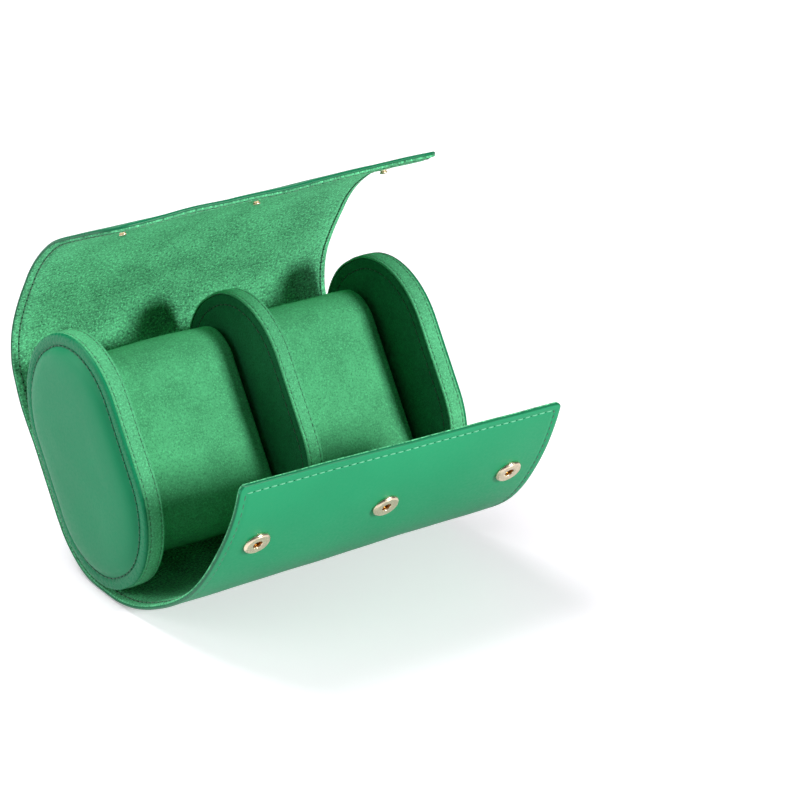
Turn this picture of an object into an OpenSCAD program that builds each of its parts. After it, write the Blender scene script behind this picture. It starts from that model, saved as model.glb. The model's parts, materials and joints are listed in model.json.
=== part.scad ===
// Travel case for two watches. A stiffened leather wrap goes round two end caps and a
// divider, and stands open on the flat under its lower back corner. The case is drawn
// in its own frame, x along the case, y to the back and z the long way of the caps, as
// it is when it is shut. The folds then open it, and the whole leans back on its foot.

/* [End caps and divider] */
// Length of the case over the two suede bands
case_len = 140; // [120:1:180]
// Long way of the cap outline
cap_h = 97; // [85:1:120]
// Short way of the cap outline
cap_d = 71.5; // [70:0.5:90]
// Corner radius of the cap outline
cap_r = 34; // [26:0.5:34]
// Width of the suede band round an end cap
band_w = 6.8; // [5:0.2:12]
// Width of the suede band round the divider
divider_w = 6.4; // [5:0.2:12]
// How far the divider stands to the right of the middle
divider_shift = 2.6; // [0:0.2:10]
// Thickness of the suede band
band_t = 0.8; // [0.5:0.1:1.5]
// Thickness of the facing sheets on the inner faces
facing_t = 1; // [0.5:0.1:1.5]
// Thickness of the leather over a cap's outer face
cover_t = 1; // [0.8:0.1:2]
// Thickness of the foam pad under that leather
pad_t = 1.4; // [0.8:0.1:3]
// Width of the leather rim turned in round the pad
rim_w = 4.2; // [3:0.2:8]
// How far the leather rim stands inside the outline
rim_step = 0.3; // [0:0.1:1]

/* [Wrap] */
// How far the wrap reaches past each end of the case
wrap_overhang = 0.5; // [0:0.1:2]
// Thickness of the outer leather
leather_t = 1; // [0.8:0.1:1.6]
// Thickness of the stiffening board
board_t = 1.2; // [0.8:0.1:2]
// Thickness of the suede lining
lining_t = 0.8; // [0.5:0.1:1.5]
// Width of the leather that is turned in along the edges
turned_w = 5; // [3:0.5:8]
// Space between the wrap and the caps
wrap_gap = 0.3; // [0.2:0.05:0.6]
// Gap left between two stiffened panels at a fold
fold_gap = 0.3; // [0.2:0.05:0.6]
// Corner radius at the free edge of the lid
lid_corner_r = 14; // [4:1:24]
// Corner radius at the free edge of the front panel
front_corner_r = 4; // [2:1:12]

/* [Lid] */
// Height of the lid's free edge above the cap centre, shut
lid_lip_z = -10; // [-16:1:-6]
// Curved length from the front top corner's start to the first lid fold
lid_fold_1 = 8; // [4:1:20]
// Curved length from the front top corner's start to the second lid fold
lid_fold_2 = 42; // [34:1:50]
// Angle the lid has swung back at the hinge
lid_swing = 22; // [10:1:40]
// Angle the lid has opened at each of its folds
lid_bend = 28; // [15:1:35]

/* [Front panel] */
// Curve of the free edge round the caps' front top corner, shut
front_lip_turn = 20; // [8:1:24]
// Length from the foot fold to the first panel fold
front_fold_1 = 30; // [24:1:36]
// Length from the foot fold to the second panel fold
front_fold_2 = 50; // [42:1:60]
// Angle the panel has opened at each of those folds
front_bend = 22.5; // [10:0.5:25]

/* [Foot] */
// Angle that the case leans back
lean = 33; // [25:1:40]
// Length of the flat that it stands on
foot_len = 17; // [12:1:20]
// Outer radius from the foot to the back
heel_r = 16; // [12:1:24]
// Outer radius in front of the foot
toe_r = 30; // [20:1:60]
// Turn of the wrap in front of the foot
toe_turn = 11; // [6:1:16]

/* [Snap fasteners] */
// Spacing of the three snaps
snap_pitch = 55; // [45:1:60]
// Height of the snaps above the cap centre, shut
snap_z = 4; // [-2:1:8]
// Radius of the socket ring
socket_r = 5.3; // [4.5:0.1:7]
// Height of the socket ring above the leather
socket_h = 1.8; // [1.5:0.1:2.4]
// Radius of the hole in the socket
socket_hole_r = 1.9; // [1.8:0.05:2.4]
// Radius of the ball on a stud
ball_r = 1.6; // [1.2:0.05:1.6]
// Radius of a stud's base
stud_base_r = 3; // [2.5:0.1:4]
// Thickness of a stud's base
stud_base_t = 0.5; // [0.4:0.1:0.8]
// Thickness of the socket and stud flanges inside the wrap
flange_t = 0.5; // [0.3:0.1:0.6]
// Radius of those flanges
flange_r = 4.4; // [3.5:0.1:5]
// Space between a shut snap's stud and its socket
snap_gap = 0.3; // [0.2:0.05:0.5]

/* [Pillows] */
// Depth of a pillow, front to back
pillow_d = 42.4; // [34:0.2:43]
// Height of a pillow
pillow_h = 76; // [60:1:76]
// Corner radius of a pillow's outline
pillow_r = 15; // [12:1:20]
// How far a pillow's back stands in front of the backs of the caps
pillow_back_gap = 2.4; // [2.4:0.1:6]
// Space at a pillow's left end
pillow_left_gap = 0.4; // [0.3:0.1:4]
// Space at a pillow's right end
pillow_right_gap = 2.4; // [0.3:0.1:4]
// Thickness of a pillow's suede sleeve
sleeve_t = 0.8; // [0.5:0.1:1.5]
// Thickness of the foam under the sleeve
foam_t = 5; // [3:0.5:8]
// Wall of the board former inside the foam
former_t = 1.5; // [1:0.1:3]
// Thickness of a pillow's end boards
end_t = 1.5; // [1:0.1:3]

/* [Hidden] */
$fn = 96;
leather_green = [0.12, 0.52, 0.33];
suede_green = [0.30, 0.66, 0.42];
board_grey = [0.62, 0.60, 0.55];
foam_cream = [0.90, 0.88, 0.78];
pale_gold = [0.86, 0.80, 0.66];

// Largest turn from one flat to the next round the wrap's curves
curve_step = 3;
// Centres of the cap outline's corner circles
arc_y = cap_d / 2 - cap_r;
arc_z = cap_h / 2 - cap_r;
// Length of the wrap, edge to edge
wrap_len = case_len + 2 * wrap_overhang;
// Depths of the wrap's layers below its outer surface
board_top = leather_t;
lining_top = leather_t + board_t;
wrap_t = leather_t + board_t + lining_t;
// Outer radius of the wrap round a cap's corner, and its outer face along the back
wrap_r = cap_r + wrap_gap + wrap_t;
wrap_y = cap_d / 2 + wrap_gap + wrap_t;
// Room for the snaps between the shut lid and the front panel
flap_room = socket_h + snap_gap + stud_base_t;
flap_step = flap_room + wrap_t;

// A path is a start [y, z, heading] and pieces, each [length, 0] when straight or
// [radius, turn] when it curves left. Its left side is the inside of the wrap.
function span(piece) = piece[1] == 0 ? piece[0] : piece[0] * piece[1] * PI / 180;
function ahead(at, piece, share = 1) =
    let (turn = at[2] + piece[1] * share)
    piece[1] == 0
    ? at + piece[0] * share * [cos(turn), sin(turn), 0]
    : [at[0] + piece[0] * (sin(turn) - sin(at[2])),
       at[1] - piece[0] * (cos(turn) - cos(at[2])), turn];
function along(at, pieces, count) =
    count == 0 ? at : ahead(along(at, pieces, count - 1), pieces[count - 1]);
function cut_to(piece, share) = piece[1] == 0 ? piece * share : [piece[0], piece[1] * share];
function trimmed(pieces, from_start, from_end) =
    [for (i = [0:len(pieces) - 1])
        cut_to(pieces[i], 1 - ((i == 0 ? from_start : 0)
                               + (i == len(pieces) - 1 ? from_end : 0)) / span(pieces[i]))];
function trimmed_start(at, pieces, from_start) = ahead(at, pieces[0], from_start / span(pieces[0]));
function turn_over(length) = length / wrap_r * 180 / PI;
// Places along a path: the ends of each piece and, on a curve, each whole step of heading
// between them, so that layers cut to different lengths still bend at the same places
function shares(at, piece) =
    piece[1] == 0 ? [0, 1]
    : concat([0],
             [for (k = [floor(at[2] / curve_step) + 1:1:ceil((at[2] + piece[1]) / curve_step) - 1])
                 (k * curve_step - at[2]) / piece[1]],
             [1]);
function places(at, pieces) =
    [for (i = [0:len(pieces) - 1])
        let (from = along(at, pieces, i), stops = shares(from, pieces[i]))
        for (k = [(i == 0 ? 0 : 1):len(stops) - 1]) ahead(from, pieces[i], stops[k])];
function inwards(list, depth) =
    [for (p = list) [p[0] - depth * sin(p[2]), p[1] + depth * cos(p[2])]];
function backwards(list) = [for (i = [len(list) - 1:-1:0]) list[i]];
// A point on the wrap round the corner whose circle has this centre
function round_corner(centre, angle) =
    [centre[0] + wrap_r * cos(angle), centre[1] + wrap_r * sin(angle), angle + 90];

// Foot: a line that touches the wrap's lower back corner at the lean, up to the heel
touch = [arc_y + wrap_r * sin(lean), -arc_z - wrap_r * cos(lean)];
heel_reach = heel_r * tan((90 - lean) / 2);
foot_to_back = (wrap_y - touch[0]) / cos(lean);
back_corner_z = touch[1] + foot_to_back * sin(lean);
foot_back = touch + (foot_to_back - heel_reach) * [cos(lean), sin(lean)];
foot_front = foot_back - foot_len * [cos(lean), sin(lean)];
foot_middle = (foot_front + foot_back) / 2;
front_hinge = foot_front - toe_r * [sin(lean) - sin(lean - toe_turn),
                                    cos(lean - toe_turn) - cos(lean)];
back_start = [front_hinge[0], front_hinge[1], lean - toe_turn];
back_path = [[toe_r, toe_turn], [foot_len, 0], [heel_r, 90 - lean],
             [arc_z - back_corner_z - heel_reach, 0]];
lid_hinge = [wrap_y, arc_z];

// Front panel, shut: straight off the foot fold until it touches the caps' lower front
// corner, round that corner, up the front and a little round the upper corner
low_centre = [-arc_y, -arc_z];
to_hinge = front_hinge - low_centre;
front_straight = sqrt(to_hinge * to_hinge - wrap_r * wrap_r);
front_touch = 360 + atan2(to_hinge[1], to_hinge[0]) - acos(wrap_r / norm(to_hinge));
front_turn_1 = front_touch - turn_over(front_fold_1 - front_straight);
front_turn_2 = front_touch - turn_over(front_fold_2 - front_straight);
front_drop = lean - toe_turn - (front_touch - 270);
lower_start = round_corner(low_centre, front_turn_1);
lower_path = [[wrap_r, front_touch - front_turn_1], [front_straight, 0]];
middle_start = round_corner(low_centre, front_turn_2);
middle_path = [[wrap_r, front_turn_1 - front_turn_2]];
upper_start = round_corner([-arc_y, arc_z], 180 - front_lip_turn);
upper_path = [[wrap_r, front_lip_turn], [2 * arc_z, 0], [wrap_r, front_turn_2 - 180]];

// Lid, shut: over the top and down in front of the front panel, clear of the snaps
rear_start = [wrap_y, arc_z, 90];
rear_path = [[wrap_r, 90], [2 * arc_y + flap_step, 0], [wrap_r, turn_over(lid_fold_1)]];
crown_start = along(rear_start, rear_path, len(rear_path));
crown_path = [[wrap_r, turn_over(lid_fold_2 - lid_fold_1)]];
flap_start = along(crown_start, crown_path, len(crown_path));
flap_path = [[wrap_r, 90 - turn_over(lid_fold_2)], [arc_z - lid_lip_z, 0]];

// Inner faces of the caps and the divider along x
left_cap_x = -case_len / 2;
right_cap_x = case_len / 2;
divider_x = divider_shift - divider_w / 2;

// What stays clear at a fold, by the depth of the layer below the outer surface
front_kink = front_drop;
function fold_trim(depth) = fold_gap / 2 + depth * tan(front_kink / 2);

// ---- shapes ----

// A strip of the wrap between two depths, from x0 to x1
module strip(at, pieces, near, far, x0, x1) {
    line = places(at, pieces);
    translate([x0, 0, 0]) rotate([90, 0, 90]) linear_extrude(x1 - x0)
        polygon(concat(inwards(line, near), backwards(inwards(line, far))));
}

// A panel's leather: the outer skin, with the edges turned in beside the board. The
// turned edge also runs along the start or the end of the path when that is a free edge.
// Beside a deep fold the turned edges stop shorter than the skin, by room_start or room_end.
module leather(at, pieces, from_start, from_end,
               lip_start = 0, lip_end = 0, room_start = 0, room_end = 0) {
    start = trimmed_start(at, pieces, from_start);
    skin = trimmed(pieces, from_start, from_end);
    edge_start = trimmed_start(start, skin, room_start);
    edge = trimmed(skin, room_start, room_end);
    last = len(skin) - 1;
    half = wrap_len / 2;
    color(leather_green) {
        strip(start, skin, 0, leather_t, -half, half);
        for (x = [-half, half - turned_w])
            strip(edge_start, edge, leather_t, lining_top, x, x + turned_w);
        if (lip_start > 0)
            strip(start, [cut_to(skin[0], lip_start / span(skin[0]))],
                  leather_t, lining_top, -half, half);
        if (lip_end > 0) {
            share = lip_end / span(skin[last]);
            strip(ahead(along(start, skin, last), skin[last], 1 - share),
                  [cut_to(skin[last], share)], leather_t, lining_top, -half, half);
        }
    }
}

// A panel's board lies between the turned edges
module board(at, pieces, from_start, from_end)
    color(board_grey)
        strip(trimmed_start(at, pieces, from_start), trimmed(pieces, from_start, from_end),
              board_top, lining_top, -wrap_len / 2 + turned_w, wrap_len / 2 - turned_w);

// A panel's suede lining covers it from edge to edge
module lining(at, pieces, from_start, from_end)
    color(suede_green)
        strip(trimmed_start(at, pieces, from_start), trimmed(pieces, from_start, from_end),
              lining_top, wrap_t, -wrap_len / 2, wrap_len / 2);

// The cap outline, drawn in by a margin
module outline(margin) {
    for (y = [-arc_y, arc_y], z = [-arc_z, arc_z])
        translate([y, z]) circle(cap_r - margin);
    square([2 * arc_y, cap_h - 2 * margin], center = true);
    square([cap_d - 2 * margin, 2 * arc_z], center = true);
}

// A plate with the cap outline from x0 to x1, or a ring where it has a hole
module plate(x0, x1, margin, hole = 0)
    translate([x0, 0, 0]) rotate([90, 0, 90]) linear_extrude(x1 - x0)
        difference() {
            outline(margin);
            if (hole > 0) outline(hole);
        }

// Turns what follows about a fold, in degrees towards the front when positive
module folded(hinge, angle)
    translate([0, hinge[0], hinge[1]]) rotate([angle, 0, 0])
        translate([0, -hinge[0], -hinge[1]]) children();

// Stands the case on its foot, with the foot's middle at the origin
module stood() rotate([-lean, 0, 0]) translate([0, -foot_middle[0], -foot_middle[1]]) children();
module on_lid_rear() stood() folded(lid_hinge, -lid_swing) children();
module on_lid_crown() on_lid_rear() folded(crown_start, -lid_bend) children();
module on_lid_front() on_lid_crown() folded(flap_start, -lid_bend) children();
module on_front_lower() stood() folded(front_hinge, front_drop) children();
module on_front_middle() on_front_lower() folded(lower_start, front_bend) children();
module on_front_upper() on_front_middle() folded(middle_start, front_bend) children();

// Three places along a line of snaps, looking outwards from a face at depth y
module at_snaps(y)
    for (i = [-1:1]) translate([i * snap_pitch, y, snap_z]) rotate([90, 0, 0]) children();

// ---- the wrap that stays with the caps ----
module back_leather() stood()
    leather(back_start, back_path, fold_trim(leather_t), fold_gap / 2,
            room_start = fold_trim(lining_top) - fold_trim(leather_t));
module back_board() stood() board(back_start, back_path, fold_trim(lining_top), fold_gap / 2);
module back_lining() stood() lining(back_start, back_path, fold_trim(wrap_t), fold_gap / 2);

// ---- the lid ----
module lid_rear_leather() on_lid_rear() leather(rear_start, rear_path, fold_gap / 2, fold_gap / 2);
module lid_rear_board() on_lid_rear() board(rear_start, rear_path, fold_gap / 2, fold_gap / 2);
module lid_rear_lining() on_lid_rear() lining(rear_start, rear_path, fold_gap / 2, fold_gap / 2);

module lid_crown_leather()
    on_lid_crown() leather(crown_start, crown_path, fold_gap / 2, fold_gap / 2);
module lid_crown_board() on_lid_crown() board(crown_start, crown_path, fold_gap / 2, fold_gap / 2);
module lid_crown_lining()
    on_lid_crown() lining(crown_start, crown_path, fold_gap / 2, fold_gap / 2);

// What is left of the lid's front when its free corners are rounded
module lid_shape() {
    reach = wrap_len / 2 - lid_corner_r;
    depth = wrap_r + flap_step + cap_d;
    translate([0, -depth, 0]) rotate([-90, 0, 0]) linear_extrude(depth) {
        for (x = [-reach, reach]) translate([x, -lid_lip_z - lid_corner_r]) circle(lid_corner_r);
        translate([-reach, -cap_h]) square([2 * reach, cap_h - lid_lip_z]);
        translate([-wrap_len / 2, -cap_h])
            square([wrap_len, cap_h - lid_lip_z - lid_corner_r]);
    }
}
module lid_front_leather() on_lid_front() intersection() {
    leather(flap_start, flap_path, fold_gap / 2, 0, 0, turned_w);
    color(leather_green) lid_shape();
}
module lid_front_board() on_lid_front() color(board_grey) difference() {
    intersection() {
        board(flap_start, flap_path, fold_gap / 2, turned_w);
        lid_shape();
    }
    rivet_room();
}
module lid_front_lining() on_lid_front() color(suede_green) difference() {
    intersection() {
        lining(flap_start, flap_path, fold_gap / 2, 0);
        lid_shape();
    }
    rivet_room();
}

// ---- the front panel ----
module front_lower_leather()
    on_front_lower()
        leather(lower_start, lower_path, fold_gap / 2, fold_trim(leather_t),
                room_end = fold_trim(lining_top) - fold_trim(leather_t));
module front_lower_board()
    on_front_lower() board(lower_start, lower_path, fold_gap / 2, fold_trim(lining_top));
module front_lower_lining()
    on_front_lower() lining(lower_start, lower_path, fold_gap / 2, fold_trim(wrap_t));

module front_middle_leather()
    on_front_middle() leather(middle_start, middle_path, fold_gap / 2, fold_gap / 2);
module front_middle_board()
    on_front_middle() board(middle_start, middle_path, fold_gap / 2, fold_gap / 2);
module front_middle_lining()
    on_front_middle() lining(middle_start, middle_path, fold_gap / 2, fold_gap / 2);

// What is left of the front panel when its free corners are rounded
module front_shape() {
    reach = wrap_len / 2 - front_corner_r;
    top = upper_start[1];
    depth = wrap_r + cap_d;
    translate([0, -depth, 0]) rotate([-90, 0, 0]) linear_extrude(depth) {
        for (x = [-reach, reach]) translate([x, front_corner_r - top]) circle(front_corner_r);
        translate([-reach, -top]) square([2 * reach, cap_h]);
        translate([-wrap_len / 2, front_corner_r - top]) square([wrap_len, cap_h]);
    }
}
module front_upper_leather() on_front_upper() color(leather_green) difference() {
    intersection() {
        leather(upper_start, upper_path, 0, fold_gap / 2, turned_w);
        front_shape();
    }
    eyelet_room();
}
module front_upper_board() on_front_upper() color(board_grey) difference() {
    intersection() {
        board(upper_start, upper_path, turned_w, fold_gap / 2);
        front_shape();
    }
    eyelet_room();
}
module front_upper_lining() on_front_upper() color(suede_green) intersection() {
    lining(upper_start, upper_path, 0, fold_gap / 2);
    front_shape();
}

// ---- snap fasteners ----
// Heights are above the front panel's outer leather. The lid's lining is at flap_room.
eyelet_r = socket_hole_r + 0.7;
eyelet_bore_r = socket_hole_r + 0.2;
eyelet_top = 0.5;
spring_z = 0.9;
spring_wire = 0.4;
spring_r = ball_r - 0.1;
shank_r = 1.2;

// A ring with a dished hole that the stud's ball goes into
module snap_sockets() on_front_upper() color(pale_gold) at_snaps(-wrap_y)
    rotate_extrude() polygon([[eyelet_r, 0], [socket_r, 0], [socket_r, socket_h * 0.35],
                              [socket_r - 0.25, socket_h * 0.7], [socket_r - 0.9, socket_h],
                              [socket_hole_r + 0.5, socket_h],
                              [socket_hole_r, socket_h - 0.3],
                              [socket_hole_r, spring_z + spring_wire + 0.05],
                              [eyelet_r, spring_z + spring_wire + 0.05]]);

// The wire ring in a socket that grips under the ball
module socket_springs() on_front_upper() color("silver") at_snaps(-wrap_y)
    translate([0, 0, spring_z]) difference() {
        cylinder(h = spring_wire, r = eyelet_r);
        translate([0, 0, -1]) cylinder(h = 3, r = spring_r);
    }

// The tube that rivets a socket through the front panel, with its flange under the lining
module socket_eyelets() on_front_upper() color(pale_gold) at_snaps(-wrap_y)
    difference() {
        union() {
            translate([0, 0, -lining_top]) cylinder(h = lining_top + eyelet_top, r = eyelet_r);
            translate([0, 0, -lining_top]) cylinder(h = flange_t, r = flange_r);
        }
        translate([0, 0, -lining_top - 1]) cylinder(h = lining_top + 3, r = eyelet_bore_r);
    }
module eyelet_room() at_snaps(-wrap_y) {
    translate([0, 0, -wrap_t]) cylinder(h = 2 * wrap_t, r = eyelet_r);
    translate([0, 0, -lining_top - 1]) cylinder(h = flange_t + 1, r = flange_r);
}

// A ball stud that stands in from the lid's lining
module snap_studs() on_lid_front() color(pale_gold) at_snaps(-wrap_y) {
    translate([0, 0, flap_room - stud_base_t]) cylinder(h = stud_base_t, r = stud_base_r);
    cylinder(h = flap_room - stud_base_t, r = shank_r);
    sphere(ball_r);
}

// The rivet that holds a stud, with its head under the outer leather
module stud_rivets() on_lid_front() color(pale_gold) at_snaps(-wrap_y) {
    translate([0, 0, flap_room]) cylinder(h = lining_t + board_t, r = shank_r);
    translate([0, 0, flap_room + lining_t + board_t - flange_t])
        cylinder(h = flange_t, r = flange_r);
}
module rivet_room() at_snaps(-wrap_y) {
    translate([0, 0, flap_room - 1]) cylinder(h = wrap_t, r = shank_r);
    translate([0, 0, flap_room + lining_t + board_t - flange_t])
        cylinder(h = flange_t + 0.5, r = flange_r);
}

// ---- end caps ----
// outer is the x of the band's outer edge, and side is -1 on the left and 1 on the right
module cap_slice(outer, side, near, far, margin, hole = 0)
    stood() plate(min(outer - side * near, outer - side * far),
                  max(outer - side * near, outer - side * far), margin, hole);
module cap_core(outer, side)
    color(board_grey) cap_slice(outer, side, 0, band_w - facing_t, band_t);
module cap_band(outer, side)
    color(suede_green) cap_slice(outer, side, 0, band_w, 0, band_t);
module cap_facing(outer, side)
    color(leather_green) cap_slice(outer, side, band_w - facing_t, band_w, band_t);
module cap_pad(outer, side)
    color(foam_cream) cap_slice(outer, side, -pad_t, 0, rim_step + rim_w);
module cap_cover(outer, side) color(leather_green) {
    cap_slice(outer, side, -pad_t - cover_t, -pad_t, rim_step + cover_t);
    cap_slice(outer, side, -pad_t, 0, rim_step, rim_step + rim_w);
}
module left_cap_core() cap_core(left_cap_x, -1);
module left_cap_band() cap_band(left_cap_x, -1);
module left_cap_facing() cap_facing(left_cap_x, -1);
module left_cap_pad() cap_pad(left_cap_x, -1);
module left_cap_cover() cap_cover(left_cap_x, -1);
module right_cap_core() cap_core(right_cap_x, 1);
module right_cap_band() cap_band(right_cap_x, 1);
module right_cap_facing() cap_facing(right_cap_x, 1);
module right_cap_pad() cap_pad(right_cap_x, 1);
module right_cap_cover() cap_cover(right_cap_x, 1);

// ---- divider ----
module divider_core() stood() color(board_grey)
    plate(divider_x + facing_t, divider_x + divider_w - facing_t, band_t);
module divider_band() stood() color(suede_green)
    plate(divider_x, divider_x + divider_w, 0, band_t);
module divider_left_facing() stood() color(leather_green)
    plate(divider_x, divider_x + facing_t, band_t);
module divider_right_facing() stood() color(leather_green)
    plate(divider_x + divider_w - facing_t, divider_x + divider_w, band_t);

// ---- pillows ----
pillow_y = cap_d / 2 - pillow_back_gap - pillow_d / 2;
left_from = left_cap_x + band_w + pillow_left_gap;
left_to = divider_x - pillow_right_gap;
right_from = divider_x + divider_w + pillow_left_gap;
right_to = right_cap_x - band_w - pillow_right_gap;

// A pillow's outline, drawn in by a margin
module pillow_outline(margin) {
    y = pillow_d / 2 - pillow_r;
    z = pillow_h / 2 - pillow_r;
    for (dy = [-y, y], dz = [-z, z]) translate([dy, dz]) circle(pillow_r - margin);
    square([2 * y, pillow_h - 2 * margin], center = true);
    square([pillow_d - 2 * margin, 2 * z], center = true);
}
module pillow_slice(x0, x1, margin, hole = 0)
    stood() translate([x0, pillow_y, 0]) rotate([90, 0, 90]) linear_extrude(x1 - x0)
        difference() {
            pillow_outline(margin);
            if (hole > 0) pillow_outline(hole);
        }
module pillow_former(x0, x1) color(board_grey)
    pillow_slice(x0 + end_t, x1 - end_t, sleeve_t + foam_t, sleeve_t + foam_t + former_t);
module pillow_foam(x0, x1) color(foam_cream)
    pillow_slice(x0 + end_t, x1 - end_t, sleeve_t, sleeve_t + foam_t);
module pillow_sleeve(x0, x1) color(suede_green) pillow_slice(x0, x1, 0, sleeve_t);
module pillow_ends(x0, x1) color(suede_green) {
    pillow_slice(x0, x0 + end_t, sleeve_t);
    pillow_slice(x1 - end_t, x1, sleeve_t);
}
module left_pillow_former() pillow_former(left_from, left_to);
module left_pillow_foam() pillow_foam(left_from, left_to);
module left_pillow_sleeve() pillow_sleeve(left_from, left_to);
module left_pillow_ends() pillow_ends(left_from, left_to);
module right_pillow_former() pillow_former(right_from, right_to);
module right_pillow_foam() pillow_foam(right_from, right_to);
module right_pillow_sleeve() pillow_sleeve(right_from, right_to);
module right_pillow_ends() pillow_ends(right_from, right_to);

back_leather();
back_board();
back_lining();
lid_rear_leather();
lid_rear_board();
lid_rear_lining();
lid_crown_leather();
lid_crown_board();
lid_crown_lining();
lid_front_leather();
lid_front_board();
lid_front_lining();
front_lower_leather();
front_lower_board();
front_lower_lining();
front_middle_leather();
front_middle_board();
front_middle_lining();
front_upper_leather();
front_upper_board();
front_upper_lining();
left_cap_core();
left_cap_band();
left_cap_facing();
left_cap_pad();
left_cap_cover();
right_cap_core();
right_cap_band();
right_cap_facing();
right_cap_pad();
right_cap_cover();
divider_core();
divider_band();
divider_left_facing();
divider_right_facing();
snap_sockets();
socket_springs();
socket_eyelets();
snap_studs();
stud_rivets();
left_pillow_former();
left_pillow_foam();
left_pillow_sleeve();
left_pillow_ends();
right_pillow_former();
right_pillow_foam();
right_pillow_sleeve();
right_pillow_ends();
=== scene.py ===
import json
import math

import bmesh
import bpy
import numpy as np
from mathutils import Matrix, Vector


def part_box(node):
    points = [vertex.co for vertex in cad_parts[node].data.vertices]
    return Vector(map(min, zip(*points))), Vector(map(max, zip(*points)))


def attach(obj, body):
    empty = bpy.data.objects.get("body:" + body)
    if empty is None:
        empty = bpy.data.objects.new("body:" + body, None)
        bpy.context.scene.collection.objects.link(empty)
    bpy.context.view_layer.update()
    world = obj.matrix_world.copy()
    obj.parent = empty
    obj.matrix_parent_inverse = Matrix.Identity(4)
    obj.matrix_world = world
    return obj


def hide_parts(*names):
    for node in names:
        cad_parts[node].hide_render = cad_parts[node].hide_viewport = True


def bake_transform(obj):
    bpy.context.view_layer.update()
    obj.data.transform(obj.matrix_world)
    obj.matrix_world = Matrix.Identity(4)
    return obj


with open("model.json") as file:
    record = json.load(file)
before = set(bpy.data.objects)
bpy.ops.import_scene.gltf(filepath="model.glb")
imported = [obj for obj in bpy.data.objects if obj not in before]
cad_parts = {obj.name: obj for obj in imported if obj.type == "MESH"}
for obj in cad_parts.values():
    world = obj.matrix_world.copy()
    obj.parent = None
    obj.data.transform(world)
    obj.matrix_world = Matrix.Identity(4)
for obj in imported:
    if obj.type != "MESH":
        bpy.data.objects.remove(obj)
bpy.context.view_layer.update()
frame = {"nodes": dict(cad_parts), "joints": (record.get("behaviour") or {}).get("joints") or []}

bl_info = {
    "name": "Watch Travel Case",
    "version": (1, 0, 0),
    "blender": (4, 5, 0),
    "location": "3D View > Sidebar > Watch Case",
    "description": "Open leather travel case for two watches, with its lining, pillows and studs",
    "category": "Add Mesh",
}

MM = 0.001
MERGE = 2e-6                    # points nearer than this are one, in metres
TINY = 1e-7                     # edges shorter than this go, in metres
ROUND = 220                     # points round a cap's or a pillow's outline
FINE = 1600                     # points round the outline that a seam follows
TURNED = 40                     # points round a turned piece
SPREAD = 14                     # rings from a plate's middle to its outline
SIXTHS = np.arange(6) * math.pi / 3


# ---- places taken from the frame ----

def joint_place(name):
    """The (y, z) of a fold in metres, at rest."""
    joint = next(j for j in frame["joints"] if j["name"] == name)
    return np.array(joint["pos_m"][1:], float)


def middle_of(node):
    """The centre of the box round a CAD node, as an array."""
    low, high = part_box(node)
    return (np.array(low) + np.array(high)) / 2


CAP_MIDDLE = middle_of("left_cap_core")[1:]
LEAN = math.radians(33)                             # how far the caps lean back
UP = np.array([math.sin(LEAN), math.cos(LEAN)])     # the long way of the caps, in (y, z)
BACK = np.array([math.cos(LEAN), -math.sin(LEAN)])  # the short way, towards the back
HEEL = CAP_MIDDLE - UP * 48.5 * MM + BACK * 30 * MM     # by the caps' lower back corner

# The folds of the wrap, in order from the lid's lip to the front lip. Each has the bodies
# on its two sides, and how far the bend reaches before and after it.
FOLDS = [
    ("lid_front_fold", "lid_front", "lid_crown", (26 * MM, 15 * MM)),
    ("lid_fold", "lid_crown", "lid_rear", (15 * MM, 27 * MM)),
    ("lid_hinge", "lid_rear", "case", (38 * MM, 3 * MM)),
    ("front_hinge", "case", "front_lower", (3 * MM, 13 * MM)),
    ("front_fold", "front_lower", "front_middle", (13 * MM, 9 * MM)),
    ("front_upper_fold", "front_middle", "front_upper", (9 * MM, 34 * MM)),
]


# ---- small helpers ----

def unit(vectors):
    """Vectors scaled to length 1."""
    return vectors / np.linalg.norm(vectors, axis=-1, keepdims=True)


def walked_along(points):
    """The length walked along a line of points, at each of them."""
    return np.concatenate([[0], np.cumsum(np.linalg.norm(np.diff(points, axis=0), axis=1))])


def at_length(length, walked, points):
    """The places at some lengths along a line of flat points, between its points straight."""
    return np.stack([np.interp(length, walked, points[:, k]) for k in (0, 1)], -1)


def square_to_x(flat):
    """(y, z) directions as (x, y, z) ones."""
    return np.concatenate([np.zeros((len(flat), 1)), flat], 1)


def fall_of(radius, inside):
    """How far a quarter circle at an edge has fallen, at a distance inside the edge."""
    t = np.clip(radius - inside, 0, radius)
    return radius - np.sqrt(np.clip(radius * radius - t * t, 0, None))


# ---- settings ----

def size(name, default, low, high, about):
    """A length property in metres."""
    return bpy.props.FloatProperty(name=name, description=about, default=default * MM,
                                   min=low * MM, max=high * MM, subtype="DISTANCE", unit="LENGTH")


def angle(name, default, about):
    """An angle property, given in degrees."""
    return bpy.props.FloatProperty(name=name, description=about, subtype="ANGLE",
                                   default=math.radians(default), unit="ROTATION")


def colour(name, red, green, blue, about):
    """A colour property, given in everyday display values from 0 to 255."""
    return bpy.props.FloatVectorProperty(
        name=name, description=about, subtype="COLOR", size=4, min=0, max=1,
        default=[*(linear(v / 255) for v in (red, green, blue)), 1])


def linear(v):
    """Display value to linear light."""
    return v / 12.92 if v <= 0.04045 else ((v + 0.055) / 1.055) ** 2.4


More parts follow.
